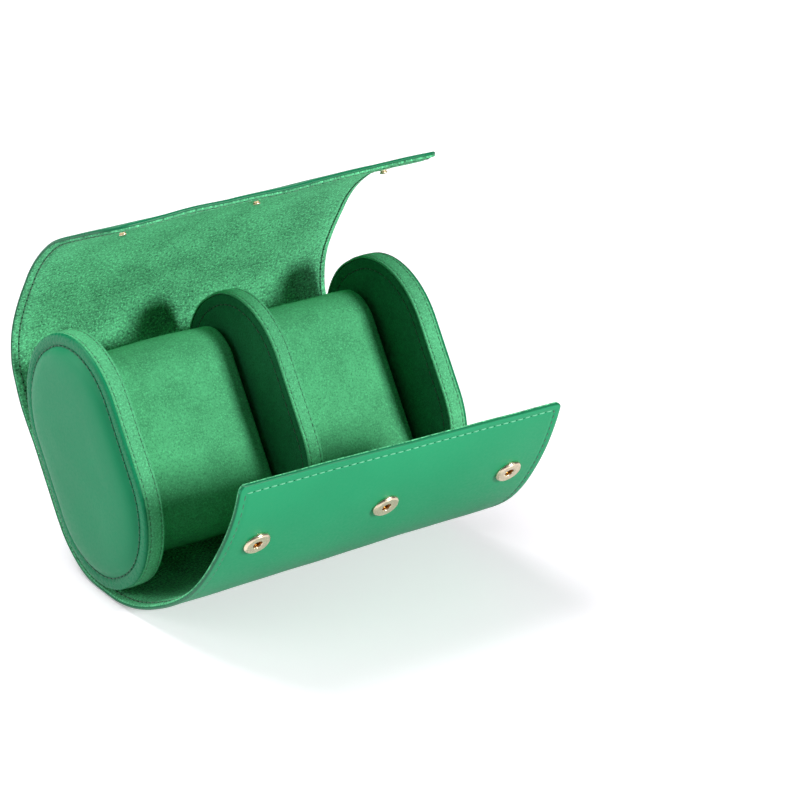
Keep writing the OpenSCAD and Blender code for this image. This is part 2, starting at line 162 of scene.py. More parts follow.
class WrapSettings(bpy.types.PropertyGroup):
    length: size("Length", 141, 120, 170, "Length of the wrap, edge to edge")
    leather: size("Leather and board", 1.85, 1.2, 4, "Thickness of the leather with its board")
    lining: size("Lining", 0.7, 0.4, 2, "Thickness of the suede lining")
    lining_inset: size("Lining inset", 0.15, 0, 2, "How far the lining stops inside the edge")
    lid_corner: size("Lid corner", 9, 4, 24, "Corner radius at the lid's lip")
    front_corner: size("Front corner", 2.6, 2, 12, "Corner radius at the front lip")
    left_inset: size("Left inset", 2.5, 0, 6, "How far the front panel's left corner draws in")
    leather_colour: colour("Leather", 24, 140, 92, "Smooth green leather")
    suede_colour: colour("Suede", 94, 188, 134, "Suede lining")


class StitchSettings(bpy.types.PropertyGroup):
    inset: size("Inset", 3.1, 2, 8, "How far the stitching lies inside the edge")
    pitch: size("Pitch", 3.3, 2, 6, "Spacing of the stitches")
    run: size("Run", 2.5, 1, 5, "Length of a stitch")
    thread: size("Thread", 0.55, 0.2, 1, "Thickness of the thread")
    thread_colour: colour("Thread", 100, 184, 142, "Sewing thread")


class CapSettings(bpy.types.PropertyGroup):
    height: size("Height", 97, 85, 120, "Long way of the cap outline")
    depth: size("Depth", 71.5, 60, 90, "Short way of the cap outline")
    corner: size("Corner", 34, 20, 35, "Corner radius of the outline")
    puff: size("Puff", 4.4, 0, 5, "How far the padded leather face swells")
    seam: size("Seam", 4.6, 3, 8, "How far the stitched seam lies inside the outline")
    face_colour: colour("Face", 24, 136, 90, "Leather of the cap faces")
    # The facings are the same suede as the bands, darkened well below it: painted shade for the
    # shadow the sideways facings lie in.
    facing_colour_painted_shade: colour("Facing", 36, 112, 72, "Suede of the inner faces")
    band_colour: colour("Band", 88, 178, 126, "Suede of the bands")


class PillowSettings(bpy.types.PropertyGroup):
    height: size("Height", 76, 60, 80, "Long way of a pillow")
    depth: size("Depth", 42.4, 34, 44, "Short way of a pillow")
    corner: size("Corner", 15, 10, 20, "Corner radius of a pillow's outline")
    crown: size("Crown", 0.7, 0, 2, "How far the sleeve swells between its ends")
    # The pillows are the lining's suede set about ten percent darker: painted shade.
    suede_colour: colour("Suede", 84, 176, 122, "Suede of the pillows")


class SnapSettings(bpy.types.PropertyGroup):
    pitch: size("Pitch", 55, 40, 60, "Spacing of the press studs")
    ring: size("Ring", 5.3, 4, 7, "Radius of the socket's ring")
    rise: size("Rise", 1.5, 1, 3, "Height of the ring above the leather")
    hole: size("Hole", 1.75, 1, 3, "Radius of the socket's hole")
    skew: size("Skew", 1.6, 0, 4, "How far the ends of the line of press studs lie off square")
    # The socket's hole is brass darkened below the brass's own colour: partly brass, partly
    # painted shade for a hole deeper than the model's.
    hole_colour_brass_and_shade: colour("Hole", 150, 92, 30, "Brass inside the sockets")
    metal_colour: colour("Metal", 238, 224, 192, "Pale gold metal")


class StageSettings(bpy.types.PropertyGroup):
    camera_x: size("Camera x", -563.7, -3000, 3000, "Camera place, along the case")
    camera_y: size("Camera y", -912.8, -3000, 3000, "Camera place, towards the back")
    camera_z: size("Camera z", 537.3, 0, 3000, "Camera height")
    tilt: angle("Tilt", 65.915, "Camera angle up from straight down")
    roll: angle("Roll", 0.122, "Camera roll")
    turn: angle("Turn", -34.695, "Camera turn about the upright")
    lens: bpy.props.FloatProperty(name="Lens", description="Focal length", default=140.45,
                                  min=10, max=400, subtype="DISTANCE_CAMERA", unit="CAMERA")
    floor_colour: colour("Floor", 245, 238, 245, "Pale floor")


SETTINGS = {"case_wrap": WrapSettings, "case_stitch": StitchSettings, "case_cap": CapSettings,
            "case_pillow": PillowSettings, "case_snap": SnapSettings, "case_stage": StageSettings}


def settings(name):
    """One group of the settings, as the scene has them."""
    return getattr(bpy.context.scene, name)


# ---- mesh helpers ----

def make_object(name, verts, faces, materials=(), smooth_angle=50, uv=None, kinds=None):
    """A mesh object from arrays, with coincident points merged and faces turned outwards.
    kinds gives the material of each face."""
    mesh = bpy.data.meshes.new(name)
    mesh.from_pydata(np.asarray(verts, float).tolist(), [], [list(map(int, f)) for f in faces])
    if kinds is not None:
        mesh.polygons.foreach_set("material_index", np.asarray(kinds, np.int32))
    if uv is not None:
        layer = mesh.uv_layers.new(name="surface")
        index = np.zeros(len(mesh.loops), np.int64)
        mesh.loops.foreach_get("vertex_index", index)
        layer.data.foreach_set("uv", np.asarray(uv, np.float32)[index].ravel())
    bm = bmesh.new()
    bm.from_mesh(mesh)
    bmesh.ops.remove_doubles(bm, verts=bm.verts, dist=MERGE)
    bmesh.ops.dissolve_degenerate(bm, edges=bm.edges, dist=TINY)
    bmesh.ops.recalc_face_normals(bm, faces=bm.faces)
    if bm.calc_volume(signed=True) < 0:
        bmesh.ops.reverse_faces(bm, faces=bm.faces)
    bm.to_mesh(mesh)
    bm.free()
    mesh.shade_smooth()
    if smooth_angle < 180:
        mesh.set_sharp_from_angle(angle=math.radians(smooth_angle))
    for m in materials:
        mesh.materials.append(m)
    obj = bpy.data.objects.new(name, mesh)
    bpy.context.scene.collection.objects.link(obj)
    return obj


def grid_faces(rows, cols, wrap_rows=False, wrap_cols=False, start=0):
    """Quads of a grid of rows x cols points, joined round where a side wraps."""
    i = np.arange(rows if wrap_rows else rows - 1)
    j = np.arange(cols if wrap_cols else cols - 1)
    a, b = np.meshgrid(i, j, indexing="ij")
    c, d = (a + 1) % rows, (b + 1) % cols
    quads = np.stack([a * cols + b, a * cols + d, c * cols + d, c * cols + b], -1)
    return quads.reshape(-1, 4) + start


def smooth_curve(points, per_piece=24):
    """Points along a Catmull-Rom curve through the given ones: each piece is the cubic that
    leaves a point in the direction of its neighbours."""
    p = np.asarray(points, float)
    p = np.vstack([2 * p[0] - p[1], p, 2 * p[-1] - p[-2]])
    knot = np.concatenate([[0], np.cumsum(np.linalg.norm(np.diff(p, axis=0), axis=1) ** 0.5)])
    out = []
    u = np.linspace(0, 1, per_piece, endpoint=False)[:, None]
    for k in range(1, len(p) - 2):
        t0, t1, t2, t3 = knot[k - 1:k + 3]
        t = t1 + u * (t2 - t1)
        a1 = (t1 - t) / (t1 - t0) * p[k - 1] + (t - t0) / (t1 - t0) * p[k]
        a2 = (t2 - t) / (t2 - t1) * p[k] + (t - t1) / (t2 - t1) * p[k + 1]
        a3 = (t3 - t) / (t3 - t2) * p[k + 1] + (t - t2) / (t3 - t2) * p[k + 2]
        b1 = (t2 - t) / (t2 - t0) * a1 + (t - t0) / (t2 - t0) * a2
        b2 = (t3 - t) / (t3 - t1) * a2 + (t - t1) / (t3 - t1) * a3
        out.append((t2 - t) / (t2 - t1) * b1 + (t - t1) / (t2 - t1) * b2)
    return np.vstack(out + [p[-2:-1]])


# ---- the wrap's surface ----

class WrapSurface:
    """The outer face of the wrap as it stands open. It is a curve in (y, z), from the lid's
    lip over the back and foot to the front lip, carried along x. The lid reaches a little
    further at the right, and the front panel at the left, so the curve changes evenly from
    the one side to the other. s is the length along the middle curve."""

    # The curve's points in mm: the lid, down to its hinge
    LIP_RIGHT = [(-24.4, 151.2)]
    LIP_LEFT = [(-21.1, 149.8)]
    LID = [(-11.2, 145.5), (-3.6, 142.3), (3.4, 139.3), (10.2, 136.4), (16.4, 133.6),
           (22.4, 130.4), (29.2, 125.5), (35.1, 120.2), (40.6, 113.9), (45.0, 107.4),
           (49.3, 100.8), (53.2, 94.1), (56.3, 87.7), (58.2, 81.8), (59.1, 75.5), (59.0, 69.0),
           (56.8, 61.9), (54.0, 55.2), (49.6, 48.4), (44.3, 41.5), (38.5, 32.6), (33.1, 24.3)]
    # The foot, with the wrap round the caps' lower back corner
    FOOT = [(28.2, 16.9), (23.4, 10.9), (18.3, 6.6), (12.5, 3.1), (6.5, 0.95), (0.5, 0.35),
            (-5.5, 0.3), (-11.0, 0.35), (-14.6, 0.5)]
    # The front panel, at the right and at the left
    RIGHT = [(-20.5, 1.4), (-28.2, 3.3), (-35.8, 6.1), (-42.8, 9.4), (-51.6, 14.0),
             (-60.4, 19.4), (-69.0, 26.1), (-76.9, 34.5), (-84.7, 45.6), (-91.2, 57.0),
             (-95.7, 67.2), (-98.4, 75.3)]
    LEFT = [(-20.5, 1.4), (-28.2, 3.3), (-35.8, 6.1), (-42.8, 9.4), (-51.6, 14.0),
            (-60.4, 19.4), (-69.0, 26.1), (-77.2, 34.8), (-85.5, 46.1), (-92.4, 57.7),
            (-97.6, 69.4), (-100.8, 80.6)]

    def __init__(self, half):
        self.half = half
        left = smooth_curve(self.LIP_LEFT + self.LID + self.FOOT + self.LEFT) * MM
        right = smooth_curve(self.LIP_RIGHT + self.LID + self.FOOT + self.RIGHT) * MM
        mean = (left + right) / 2
        self.length_at = walked_along(mean)
        self.total = self.length_at[-1]
        self.left, self.right, self.mean = left, right, mean

    def s_near(self, place):
        """The length along the curve of the point nearest to (y, z)."""
        return self.length_at[np.argmin(np.linalg.norm(self.mean - place, axis=1))]

    def curve(self, s, x):
        """(y, z) of the outer face: the two side curves, mixed by how far across x is."""
        share = ((x + self.half) / (2 * self.half))[..., None]
        left = at_length(s, self.length_at, self.left)
        right = at_length(s, self.length_at, self.right)
        return left * (1 - share) + right * share

    def inward(self, s, x):
        """Unit normal in (y, z), to the inner side: the slope over 1.2 mm, turned square."""
        step = 0.6 * MM
        low, high = np.clip(s - step, 0, None), np.clip(s + step, None, self.total)
        along = unit(self.curve(high, x) - self.curve(low, x))
        return np.stack([along[..., 1], -along[..., 0]], -1)

    def ripple(self, s, x):
        """Slow uneven swells of hand-made leather: sums of a few sine waves, in metres."""
        u, v = x / MM, s / MM
        swell = (0.10 * np.sin(0.061 * u + 0.043 * v + 0.7)
                 + 0.08 * np.sin(0.113 * u - 0.081 * v + 2.1)
                 + 0.05 * np.sin(0.021 * u + 0.171 * v + 4.0)
                 + 0.04 * np.sin(0.271 * u + 0.043 * v + 1.3))
        lip = np.exp(-v / 9)
        lip_wave = lip * (0.22 * np.sin(0.085 * u + 1.2) + 0.10 * np.sin(0.21 * u + 0.4))
        return (swell + lip_wave) * MM

    def point(self, x, s, depth):
        """A point of the wrap: x across, s along, and depth below the outer face."""
        x, s, depth = np.broadcast_arrays(np.asarray(x, float), np.asarray(s, float),
                                          np.asarray(depth, float))
        place = self.curve(s, x) + self.inward(s, x) * (depth + self.ripple(s, x))[..., None]
        return np.concatenate([x[..., None], place], -1)

    def half_width(self, s, inset, side):
        """Half the width at s, on one side (-1 left, 1 right). The corners are circles, and
        the front panel's left side draws in towards its lip."""
        wrap = settings("case_wrap")
        half = self.half - inset
        for corner, from_lip in ((wrap.lid_corner, s - inset),
                                 (wrap.front_corner, self.total - inset - s)):
            half = half - fall_of(corner - inset, from_lip)
        if side < 0:
            start = self.s_near(joint_place("front_upper_fold"))
            share = np.clip((s - start) / (self.total - start), 0, 1)
            half = half - wrap.left_inset * share * share
        return half

    def edge_distance(self, x, s, inset):
        """How far a point lies inside the wrap's edge, rounded corners included."""
        wrap = settings("case_wrap")
        sides = np.where(x < 0, self.half_width(s, inset, -1), self.half_width(s, inset, 1))
        side = sides - np.abs(x)
        lid, front = s - inset, self.total - inset - s
        out = np.minimum(side, np.minimum(lid, front))
        for corner, from_lip in ((wrap.lid_corner, lid), (wrap.front_corner, front)):
            r = corner - inset
            straight = self.half - inset - np.abs(x)
            inside = (from_lip < r) & (straight < r)
            round_off = r - np.hypot(r - from_lip, r - straight)
            out = np.where(inside, round_off, out)
        return np.clip(out, 0, None)


def wrap_surface():
    """The wrap's surface at the length that the settings give."""
    return WrapSurface(settings("case_wrap").length / 2)


# The sheets of the wrap
EDGE_ZONE = 14 * MM             # how far in from the sides the grid lines follow the sides
LIP_ZONE = 12 * MM              # how far in from a lip the stations crowd together
CUT_LINES = np.array([0, 0.15, 0.4, 0.8]) * MM      # stations next to a cut
CENTRE_LINES = 44               # grid lines across the middle
EDGE_THIN = 0.75 * MM           # how much thinner the leather is at its edge
EDGE_ROUND = 0.7 * MM           # radius of the leather's outer edge
LINING_ROUND = 0.25 * MM        # radius of the lining's outer edge
GROOVE_WIDE, PUFF_WIDE = 0.55 * MM, 1.3 * MM        # the sewn groove, and the swell outside it
PUFF_PLACE, PUFF_SHARE = 0.45, 0.4  # where the swell lies and how high, by the groove's
SHEET_SMOOTH = 78               # the sheets shade smooth up to this angle, in degrees
ROLLED = 0.45 * MM              # how far in from the edge the leather is darker


def near_edge(limit):
    """Distances from an edge at which a sheet has its lines, in metres, up to a limit."""
    steps = np.array([0, .06, .2, .42, .7, 1.0, 1.4, 2.0, 2.7, 3.2, 3.6, 4.0, 4.4, 4.8, 5.4,
                      6.4, 8.0, 10.0, 12.5]) * MM
    return steps[steps < limit]


def pinch(inside):
    """How much thinner the wrap is near its edge, where no board stiffens it: 0.75 mm at the
    edge, none from 5.3 mm inside, on a smooth step."""
    t = np.clip((inside - 0.8 * MM) / (4.5 * MM), 0, 1)
    return EDGE_THIN * (1 - t * t * (3 - 2 * t))


def stations(start, end, lip_start, lip_end, step=1.6 * MM):
    """Lengths along the wrap for one sheet: close together at a lip and at a cut."""
    first = near_edge(LIP_ZONE) if lip_start else CUT_LINES
    last = near_edge(LIP_ZONE) if lip_end else CUT_LINES
    low, high = start + first, end - last[::-1]
    count = max(2, int((high[0] - low[-1]) / step))
    return np.concatenate([low, np.linspace(low[-1], high[0], count + 1)[1:-1], high])


def sheet_of_wrap(name, surface, start, end, top, bottom, inset, radii, grooves, materials):
    """A closed sheet between two depths. Each station is a ring of points: across the outer
    side and back across the inner side, both falling to the edge on a quarter circle. The
    radii add up to the sheet's thickness there, so that it closes. There is a shallow groove
    where the stitching draws it in."""
    last = surface.total - inset
    s = stations(max(start, inset), min(end, last), start <= inset, end >= last)
    middle = np.linspace(-1, 1, CENTRE_LINES)
    edge = near_edge(EDGE_ZONE)
    width = {side: surface.half_width(s, inset, side)[:, None] for side in (-1, 1)}
    inner = {side: width[side] - EDGE_ZONE for side in (-1, 1)}
    left = -(width[-1] - edge[None, :])
    right = (width[1] - edge[None, :])[:, ::-1]
    centre = -inner[-1] + (middle[None, :] + 1) / 2 * (inner[1] + inner[-1])
    x = np.concatenate([left, centre, right], 1)
    ss = np.broadcast_to(s[:, None], x.shape)
    inside = surface.edge_distance(x, ss, inset)
    inside[:, 0] = inside[:, -1] = 0
    seam = settings("case_stitch").inset
    fade = np.clip(inside / EDGE_ROUND, 0, 1)
    groove = np.exp(-((inside + inset - seam) / GROOVE_WIDE) ** 2) * fade
    puff = np.exp(-((inside + inset - seam * PUFF_PLACE) / PUFF_WIDE) ** 2) * fade
    sunk = groove - PUFF_SHARE * puff
    thin = pinch(inside + inset)
    outer = top - (thin if top > 0 else 0) + fall_of(radii[0], inside) + grooves[0] * sunk
    back = bottom - thin - fall_of(radii[1], inside) - grooves[1] * sunk
    rows, cols = x.shape
    verts = np.concatenate([surface.point(x, ss, outer),
                            surface.point(x, ss, back)[:, -2:0:-1]], 1)
    across = np.concatenate([x, x[:, -2:0:-1]], 1)
    around = verts.shape[1]
    faces = grid_faces(rows, around, wrap_cols=True).tolist()
    for row in (0, rows - 1):
        if (row == 0 and start <= inset) or (row and end >= last):
            continue
        ring = row * around
        strip = [[ring + j, ring + j + 1, ring + (around - 1 - j) % around,
                  ring + (around - j) % around] for j in range(cols - 1)]
        faces += [list(dict.fromkeys(f)) for f in strip]
    lengths = np.broadcast_to(s[:, None], across.shape)
    uv = np.stack([across, lengths], -1).reshape(-1, 2) / (100 * MM)
    depth = np.concatenate([inside, inside[:, -2:0:-1]], 1).ravel()
    walls = len(faces) - (rows - 1) * around
    kinds = [int(depth[f].mean() < ROLLED) for f in faces[:len(faces) - walls]] + [0] * walls
    return make_object(name, verts.reshape(-1, 3), faces, materials, SHEET_SMOOTH, uv,
                       kinds if len(materials) > 1 else None)


def wrap_spans(surface):
    """The pieces of the wrap: each crosses one fold, and ends between it and the next one.
    The back's piece ends at the heel, and the foot's begins there."""
    folds = [surface.s_near(joint_place(f[0])) for f in FOLDS]
    cuts = [0, (folds[0] + folds[1]) / 2, folds[1] * .58 + folds[2] * .42,
            surface.s_near(HEEL), (folds[3] + folds[4]) / 2, (folds[4] + folds[5]) / 2,
            surface.total]
    return [(f, folds[k], cuts[k], cuts[k + 1]) for k, f in enumerate(FOLDS)]


def label_of(fold):
    """A fold's name without the word for its kind, for the pieces that cross it."""
    return fold[0].replace("_fold", "").replace("_hinge", "")


def bend_with(obj, surface, fold, place):
    """Bakes a piece's placement into its mesh; it sets up no bend at the fold."""
    _, first, second, (before, after) = fold
    ends = [surface.point(0, place + k, 0) for k in (-before, after)]
    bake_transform(obj)


# ---- stitches ----

def stitch_rows(starts, ends, normals, rise, radius):
    """Short threads in rows of six-sided rings. Each runs from its start to its end and
    arches over the surface: its height is the rise times 1 - (2u - 1)^4, less a little."""
    u = np.array([0, 0.16, 0.5, 0.84, 1.0])
    lift = rise * (1 - (2 * u - 1) ** 4) - 0.55 * radius
    thick = radius * np.array([0.35, 0.95, 1, 0.95, 0.35])
    side = unit(np.cross(unit(ends - starts), normals))
    ring = (side[:, None, None, :] * np.cos(SIXTHS)[None, None, :, None]
            + normals[:, None, None, :] * np.sin(SIXTHS)[None, None, :, None])
    line = (starts[:, None, :] * (1 - u)[None, :, None] + ends[:, None, :] * u[None, :, None]
            + normals[:, None, :] * lift[None, :, None])
    verts = line[:, :, None, :] + ring * thick[None, :, None, None]
    body = grid_faces(5, 6, wrap_cols=True).tolist()
    body += [[5, 4, 3, 2, 1, 0], [24, 25, 26, 27, 28, 29]]
    faces = [[v + 30 * k for v in f] for k in range(len(starts)) for f in body]
    return verts.reshape(-1, 3), faces


def holes_at(places, normals, along, radius):
    """Small sunk buttons that show as needle holes: a hexagon dome 0.05 mm proud."""
    side = unit(np.cross(along, normals))
    ring = (side[:, None] * np.cos(SIXTHS)[None, :, None]
            + along[:, None] * np.sin(SIXTHS)[None, :, None]) * radius
    low = places[:, None] + ring - normals[:, None] * 0.12 * MM
    high = places[:, None] + ring * 0.8 + normals[:, None] * 0.045 * MM
    verts = np.concatenate([low, high], 1)
    body = [[5, 4, 3, 2, 1, 0], [6, 7, 8, 9, 10, 11]]
    body += [[k, (k + 1) % 6, 6 + (k + 1) % 6, 6 + k] for k in range(6)]
    faces = [[v + 12 * n for v in f] for n in range(len(places)) for f in body]
    return verts.reshape(-1, 3), faces


def stitch_object(name, starts, ends, normals, materials, rise=None):
    """Threads and needle holes of one seam, as one object with two materials; the holes'
    near-black material is painted shade.
    """
    sewing = settings("case_stitch")
    radius = sewing.thread / 2
    threads, faces = stitch_rows(starts, ends, normals, rise or 0.7 * radius, radius)
    along = unit(ends - starts)
    gap = (sewing.pitch - sewing.run) / 2
    holes, more = holes_at(ends + along * gap, normals, along, 0.42 * MM)
    verts = np.vstack([threads, holes])
    faces = faces + [[v + len(threads) for v in f] for f in more]
    obj = make_object(name, verts, faces, materials, 180)
    index = np.zeros(len(obj.data.polygons), np.int32)
    index[len(index) - len(more):] = 1
    obj.data.polygons.foreach_set("material_index", index)
    return obj


def seam_route(surface, inset):
    """The stitched line round the wrap, as (x, s) points 0.25 mm apart: a line that lies the
    inset inside the edge, down the right side and back up the left."""
    step = 0.25 * MM
    s = np.arange(inset, surface.total - inset, step)
    sides = {k: surface.half_width(s, inset, k) for k in (-1, 1)}
    right = np.stack([sides[1], s], 1)
    front_x = np.arange(sides[1][-1], -sides[-1][-1], -step)
    front = np.stack([front_x, np.full(len(front_x), surface.total - inset)], 1)
    left = np.stack([-sides[-1], s], 1)[::-1]
    lid_x = np.arange(-sides[-1][0], sides[1][0], step)
    lid = np.stack([lid_x, np.full(len(lid_x), inset)], 1)
    return np.vstack([right, front, left, lid])


def seam_stitches(surface, inset):
    """Starts and ends of the stitches along the seam, as (x, s)."""
    sewing = settings("case_stitch")
    route = seam_route(surface, inset)
    walked = walked_along(route)
    count = int(walked[-1] / sewing.pitch)
    at = np.arange(count) * (walked[-1] / count)
    return at_length(at, walked, route), at_length(at + sewing.run, walked, route)


# ---- outlines of caps and pillows ----

def outline(count, height, depth, corner, inset=0.0):
    """Points round a rounded rectangle, as (back, up), and the outward directions there. The
    points keep their places round the outline when it is drawn in by an inset."""
    r = corner
    flat_y, flat_z = depth / 2 - r, height / 2 - r
    parts = [2 * flat_y, r * math.pi / 2, 2 * flat_z, r * math.pi / 2] * 2
    total = sum(parts)
    w = np.arange(count) * total / count
    ends = np.cumsum([0] + parts)
    k = np.clip(np.searchsorted(ends, w, side="right") - 1, 0, 7)
    f = (w - ends[k]) / np.where(np.array(parts)[k] > 0, np.array(parts)[k], 1)
    corners = np.array([(flat_y, flat_z), (flat_y, -flat_z), (-flat_y, -flat_z),
                        (-flat_y, flat_z)])
    side = k // 2
    turning = k % 2 == 1
    heading = math.pi / 2 - side * math.pi / 2 - np.where(turning, f * math.pi / 2, 0)
    normal = np.stack([np.cos(heading), np.sin(heading)], 1)
    start, end = corners[(side - 1) % 4], corners[side]
    base = np.where(turning[:, None], end, start * (1 - f[:, None]) + end * f[:, None])
    return base + normal * (r - inset), normal


def to_row(x, flat, middle):
    """(x, back, up) of the leaning case to (x, y, z) of the row."""
    place = middle + flat[..., 0:1] * BACK + flat[..., 1:2] * UP
    return np.concatenate([np.broadcast_to(np.asarray(x, float)[..., None],
                                           place.shape[:-1] + (1,)), place], -1)


def ring_solid(name, shape, middle, profile, materials, swell, angle=50):
    """A closed ring: a loop of (x, inset) points carried round an outline, and moved out by
    the swell there."""
    verts = []
    for x, inset in profile:
        flat, normal = outline(ROUND, *shape, inset=inset)
        flat = flat + normal * swell(x, flat, inset)[:, None]
        verts.append(to_row(np.full(ROUND, x), flat, middle))
    faces = grid_faces(len(profile), ROUND, wrap_rows=True, wrap_cols=True)
    return make_object(name, np.vstack(verts), faces, materials, angle)


def plate_solid(name, shape, middle, profile, materials, lift=None, angle=50, rim=0.0):
    """A closed plate: (x, inset) points from one face's middle part over the edge to the
    other's, carried round an outline. Inside the last inset on each side the outline
    shrinks to a point in even steps, and the pole is a single point. Where the inset is
    under rim, the second material is used."""
    def ring(x, inset, shrink):
        flat = outline(ROUND, *shape, inset=inset)[0] * shrink
        bulge = lift(flat, x, shrink) if lift is not None else 0
        return to_row(np.full(ROUND, x) + bulge, flat, middle)

    shrinks = np.linspace(0, 1, SPREAD + 1)[:-1]
    verts = [ring(*profile[0], k) for k in shrinks]
    verts += [ring(*point, 1.0) for point in profile]
    verts += [ring(*profile[-1], k) for k in shrinks[::-1]]
    faces = grid_faces(len(verts), ROUND, wrap_cols=True)
    kinds = [SPREAD <= k < SPREAD + len(profile) and profile[k - SPREAD][1] < rim
             for k in range(len(verts) - 1)]
    return make_object(name, np.vstack(verts), faces, materials, angle,
                       kinds=np.repeat(kinds, ROUND).astype(int))


def cap_stitches(inset, x, facing, pitch, run):
    """Stitches at x along the caps' outline, drawn in by an inset: their starts, ends and
    normals, which face left or right."""
    flat, _ = outline(FINE, *cap_shape(), inset=inset)
    loop = np.vstack([flat, flat[:1]])
    walked = walked_along(loop)
    count = int(walked[-1] / pitch)
    at = np.arange(count) * walked[-1] / count

    def place(length):
        spots = at_length(length % walked[-1], walked, loop)
        return to_row(np.full(count, x), spots, CAP_MIDDLE)

    starts, ends = place(at), place(at + run)
    normals = np.zeros_like(starts)
    normals[:, 0] = facing
    return starts, ends, normals


# ---- finishes ----

class Finish:
    """A material made of a few named steps, each with sizes in metres. On a surface's own
    lengths (on_surface) the pattern follows the piece's UV map, where 1 is 100 mm."""

    def __init__(self, name, on_surface=False):
        self.material = bpy.data.materials.get(name) or bpy.data.materials.new(name)
        self.material.use_nodes = True
        self.tree = self.material.node_tree
        self.tree.nodes.clear()
        self.shader = self.node("ShaderNodeBsdfPrincipled")
        out = self.node("ShaderNodeOutputMaterial")
        self.link(self.shader.outputs["BSDF"], out.inputs["Surface"])
        where = self.node("ShaderNodeTexCoord")
        self.place = where.outputs["Object"]
        if on_surface:
            sheet = self.node("ShaderNodeMapping")
            sheet.inputs["Scale"].default_value = (0.1, 0.1, 0.1)
            self.link(where.outputs["UV"], sheet.inputs["Vector"])
            self.place = sheet.outputs["Vector"]

    def node(self, kind, **values):
        """A new node, with some of its values set."""
        node = self.tree.nodes.new(kind)
        for key, value in values.items():
            setattr(node, key, value)
        return node

    def link(self, start, end):
        self.tree.links.new(start, end)

    def noise(self, grain, detail=3.0, roughness=0.5, stretch=None):
        """Noise whose patches are about grain metres wide."""
        n = self.node("ShaderNodeTexNoise")
        n.inputs["Scale"].default_value = 1 / grain
        n.inputs["Detail"].default_value = detail
        n.inputs["Roughness"].default_value = roughness
        place = self.place
        if stretch:
            turn = self.node("ShaderNodeMapping")
            turn.inputs["Scale"].default_value = stretch
            self.link(place, turn.inputs["Vector"])
            place = turn.outputs["Vector"]
        self.link(place, n.inputs["Vector"])
        return n.outputs["Fac"]

    def cells(self, grain):
        """Cells about grain metres wide, as the distance to their edges."""
        v = self.node("ShaderNodeTexVoronoi", feature="DISTANCE_TO_EDGE")
        v.inputs["Scale"].default_value = 1 / grain
        self.link(self.place, v.inputs["Vector"])
        return v.outputs["Distance"]

    def spread(self, value, low, high, to_low=0.0, to_high=1.0):
        """A value between low and high, spread over another range and held inside it."""
        m = self.node("ShaderNodeMapRange")
        for key, v in (("From Min", low), ("From Max", high), ("To Min", to_low),
                       ("To Max", to_high)):
            m.inputs[key].default_value = v
        self.link(value, m.inputs["Value"])
        return m.outputs["Result"]

    def times(self, first, second):
        """The product of two values."""
        m = self.node("ShaderNodeMath", operation="MULTIPLY")
        self.link(first, m.inputs[0])
        self.link(second, m.inputs[1])
        return m.outputs[0]

    def mix(self, factor, first, second):
        """The first colour where the factor is 0 and the second where it is 1."""
        m = self.node("ShaderNodeMix", data_type="RGBA")
        self.link(factor, m.inputs["Factor"])
        for key, value in (("A", first), ("B", second)):
            socket = next(s for s in m.inputs if s.name == key and s.type == "RGBA")
            if isinstance(value, bpy.types.NodeSocket):
                self.link(value, socket)
            else:
                socket.default_value = value
        return next(s for s in m.outputs if s.type == "RGBA")

    def colour(self, value):
        """Links the shader's base colour."""
        self.link(value, self.shader.inputs["Base Color"])

    def roughness(self, value):
        """Links the shader's roughness."""
        self.link(value, self.shader.inputs["Roughness"])

    def bump(self, *layers):
        """Bumps in turn, each (height, strength, distance in metres)."""
        last = None
        for height, strength, distance in layers:
            b = self.node("ShaderNodeBump")
            b.inputs["Strength"].default_value = strength
            b.inputs["Distance"].default_value = distance
            self.link(height, b.inputs["Height"])
            if last is not None:
                self.link(last, b.inputs["Normal"])
            last = b.outputs["Normal"]
        self.link(last, self.shader.inputs["Normal"])

    def gloss(self, **values):
        """Plain values set on the shader's own sockets."""
        for key, value in values.items():
            self.shader.inputs[key.replace("_", " ")].default_value = value


def shade(rgba, by):
    """A colour made lighter or darker by a factor."""
    return [min(1, v * by) for v in rgba[:3]] + [1]


def smooth_leather(name, base, on_surface=False, rough=0.42, shine=0.22):
    """Smooth dyed leather: a very fine pebble, faint pores, and slow changes of tone."""
    f = Finish(name, on_surface)
    tone = f.spread(f.noise(45 * MM, 3), 0.3, 0.7)
    cloud = f.mix(tone, shade(base, 0.9), shade(base, 1.08))
    fleck = f.spread(f.noise(0.5 * MM, 2), 0.35, 0.65)
    f.colour(f.mix(fleck, cloud, shade(base, 1.0)))
    pebble = f.cells(0.75 * MM)
    pores = f.noise(0.3 * MM, 2)
    f.bump((f.noise(11 * MM, 2), 0.25, 0.35 * MM), (pebble, 0.16, 0.12 * MM),
           (pores, 0.18, 0.06 * MM))
    f.roughness(f.spread(f.noise(1.2 * MM, 4), 0.3, 0.7, rough - 0.05, rough + 0.09))
    f.gloss(Specular_IOR_Level=shine)
    return f.material


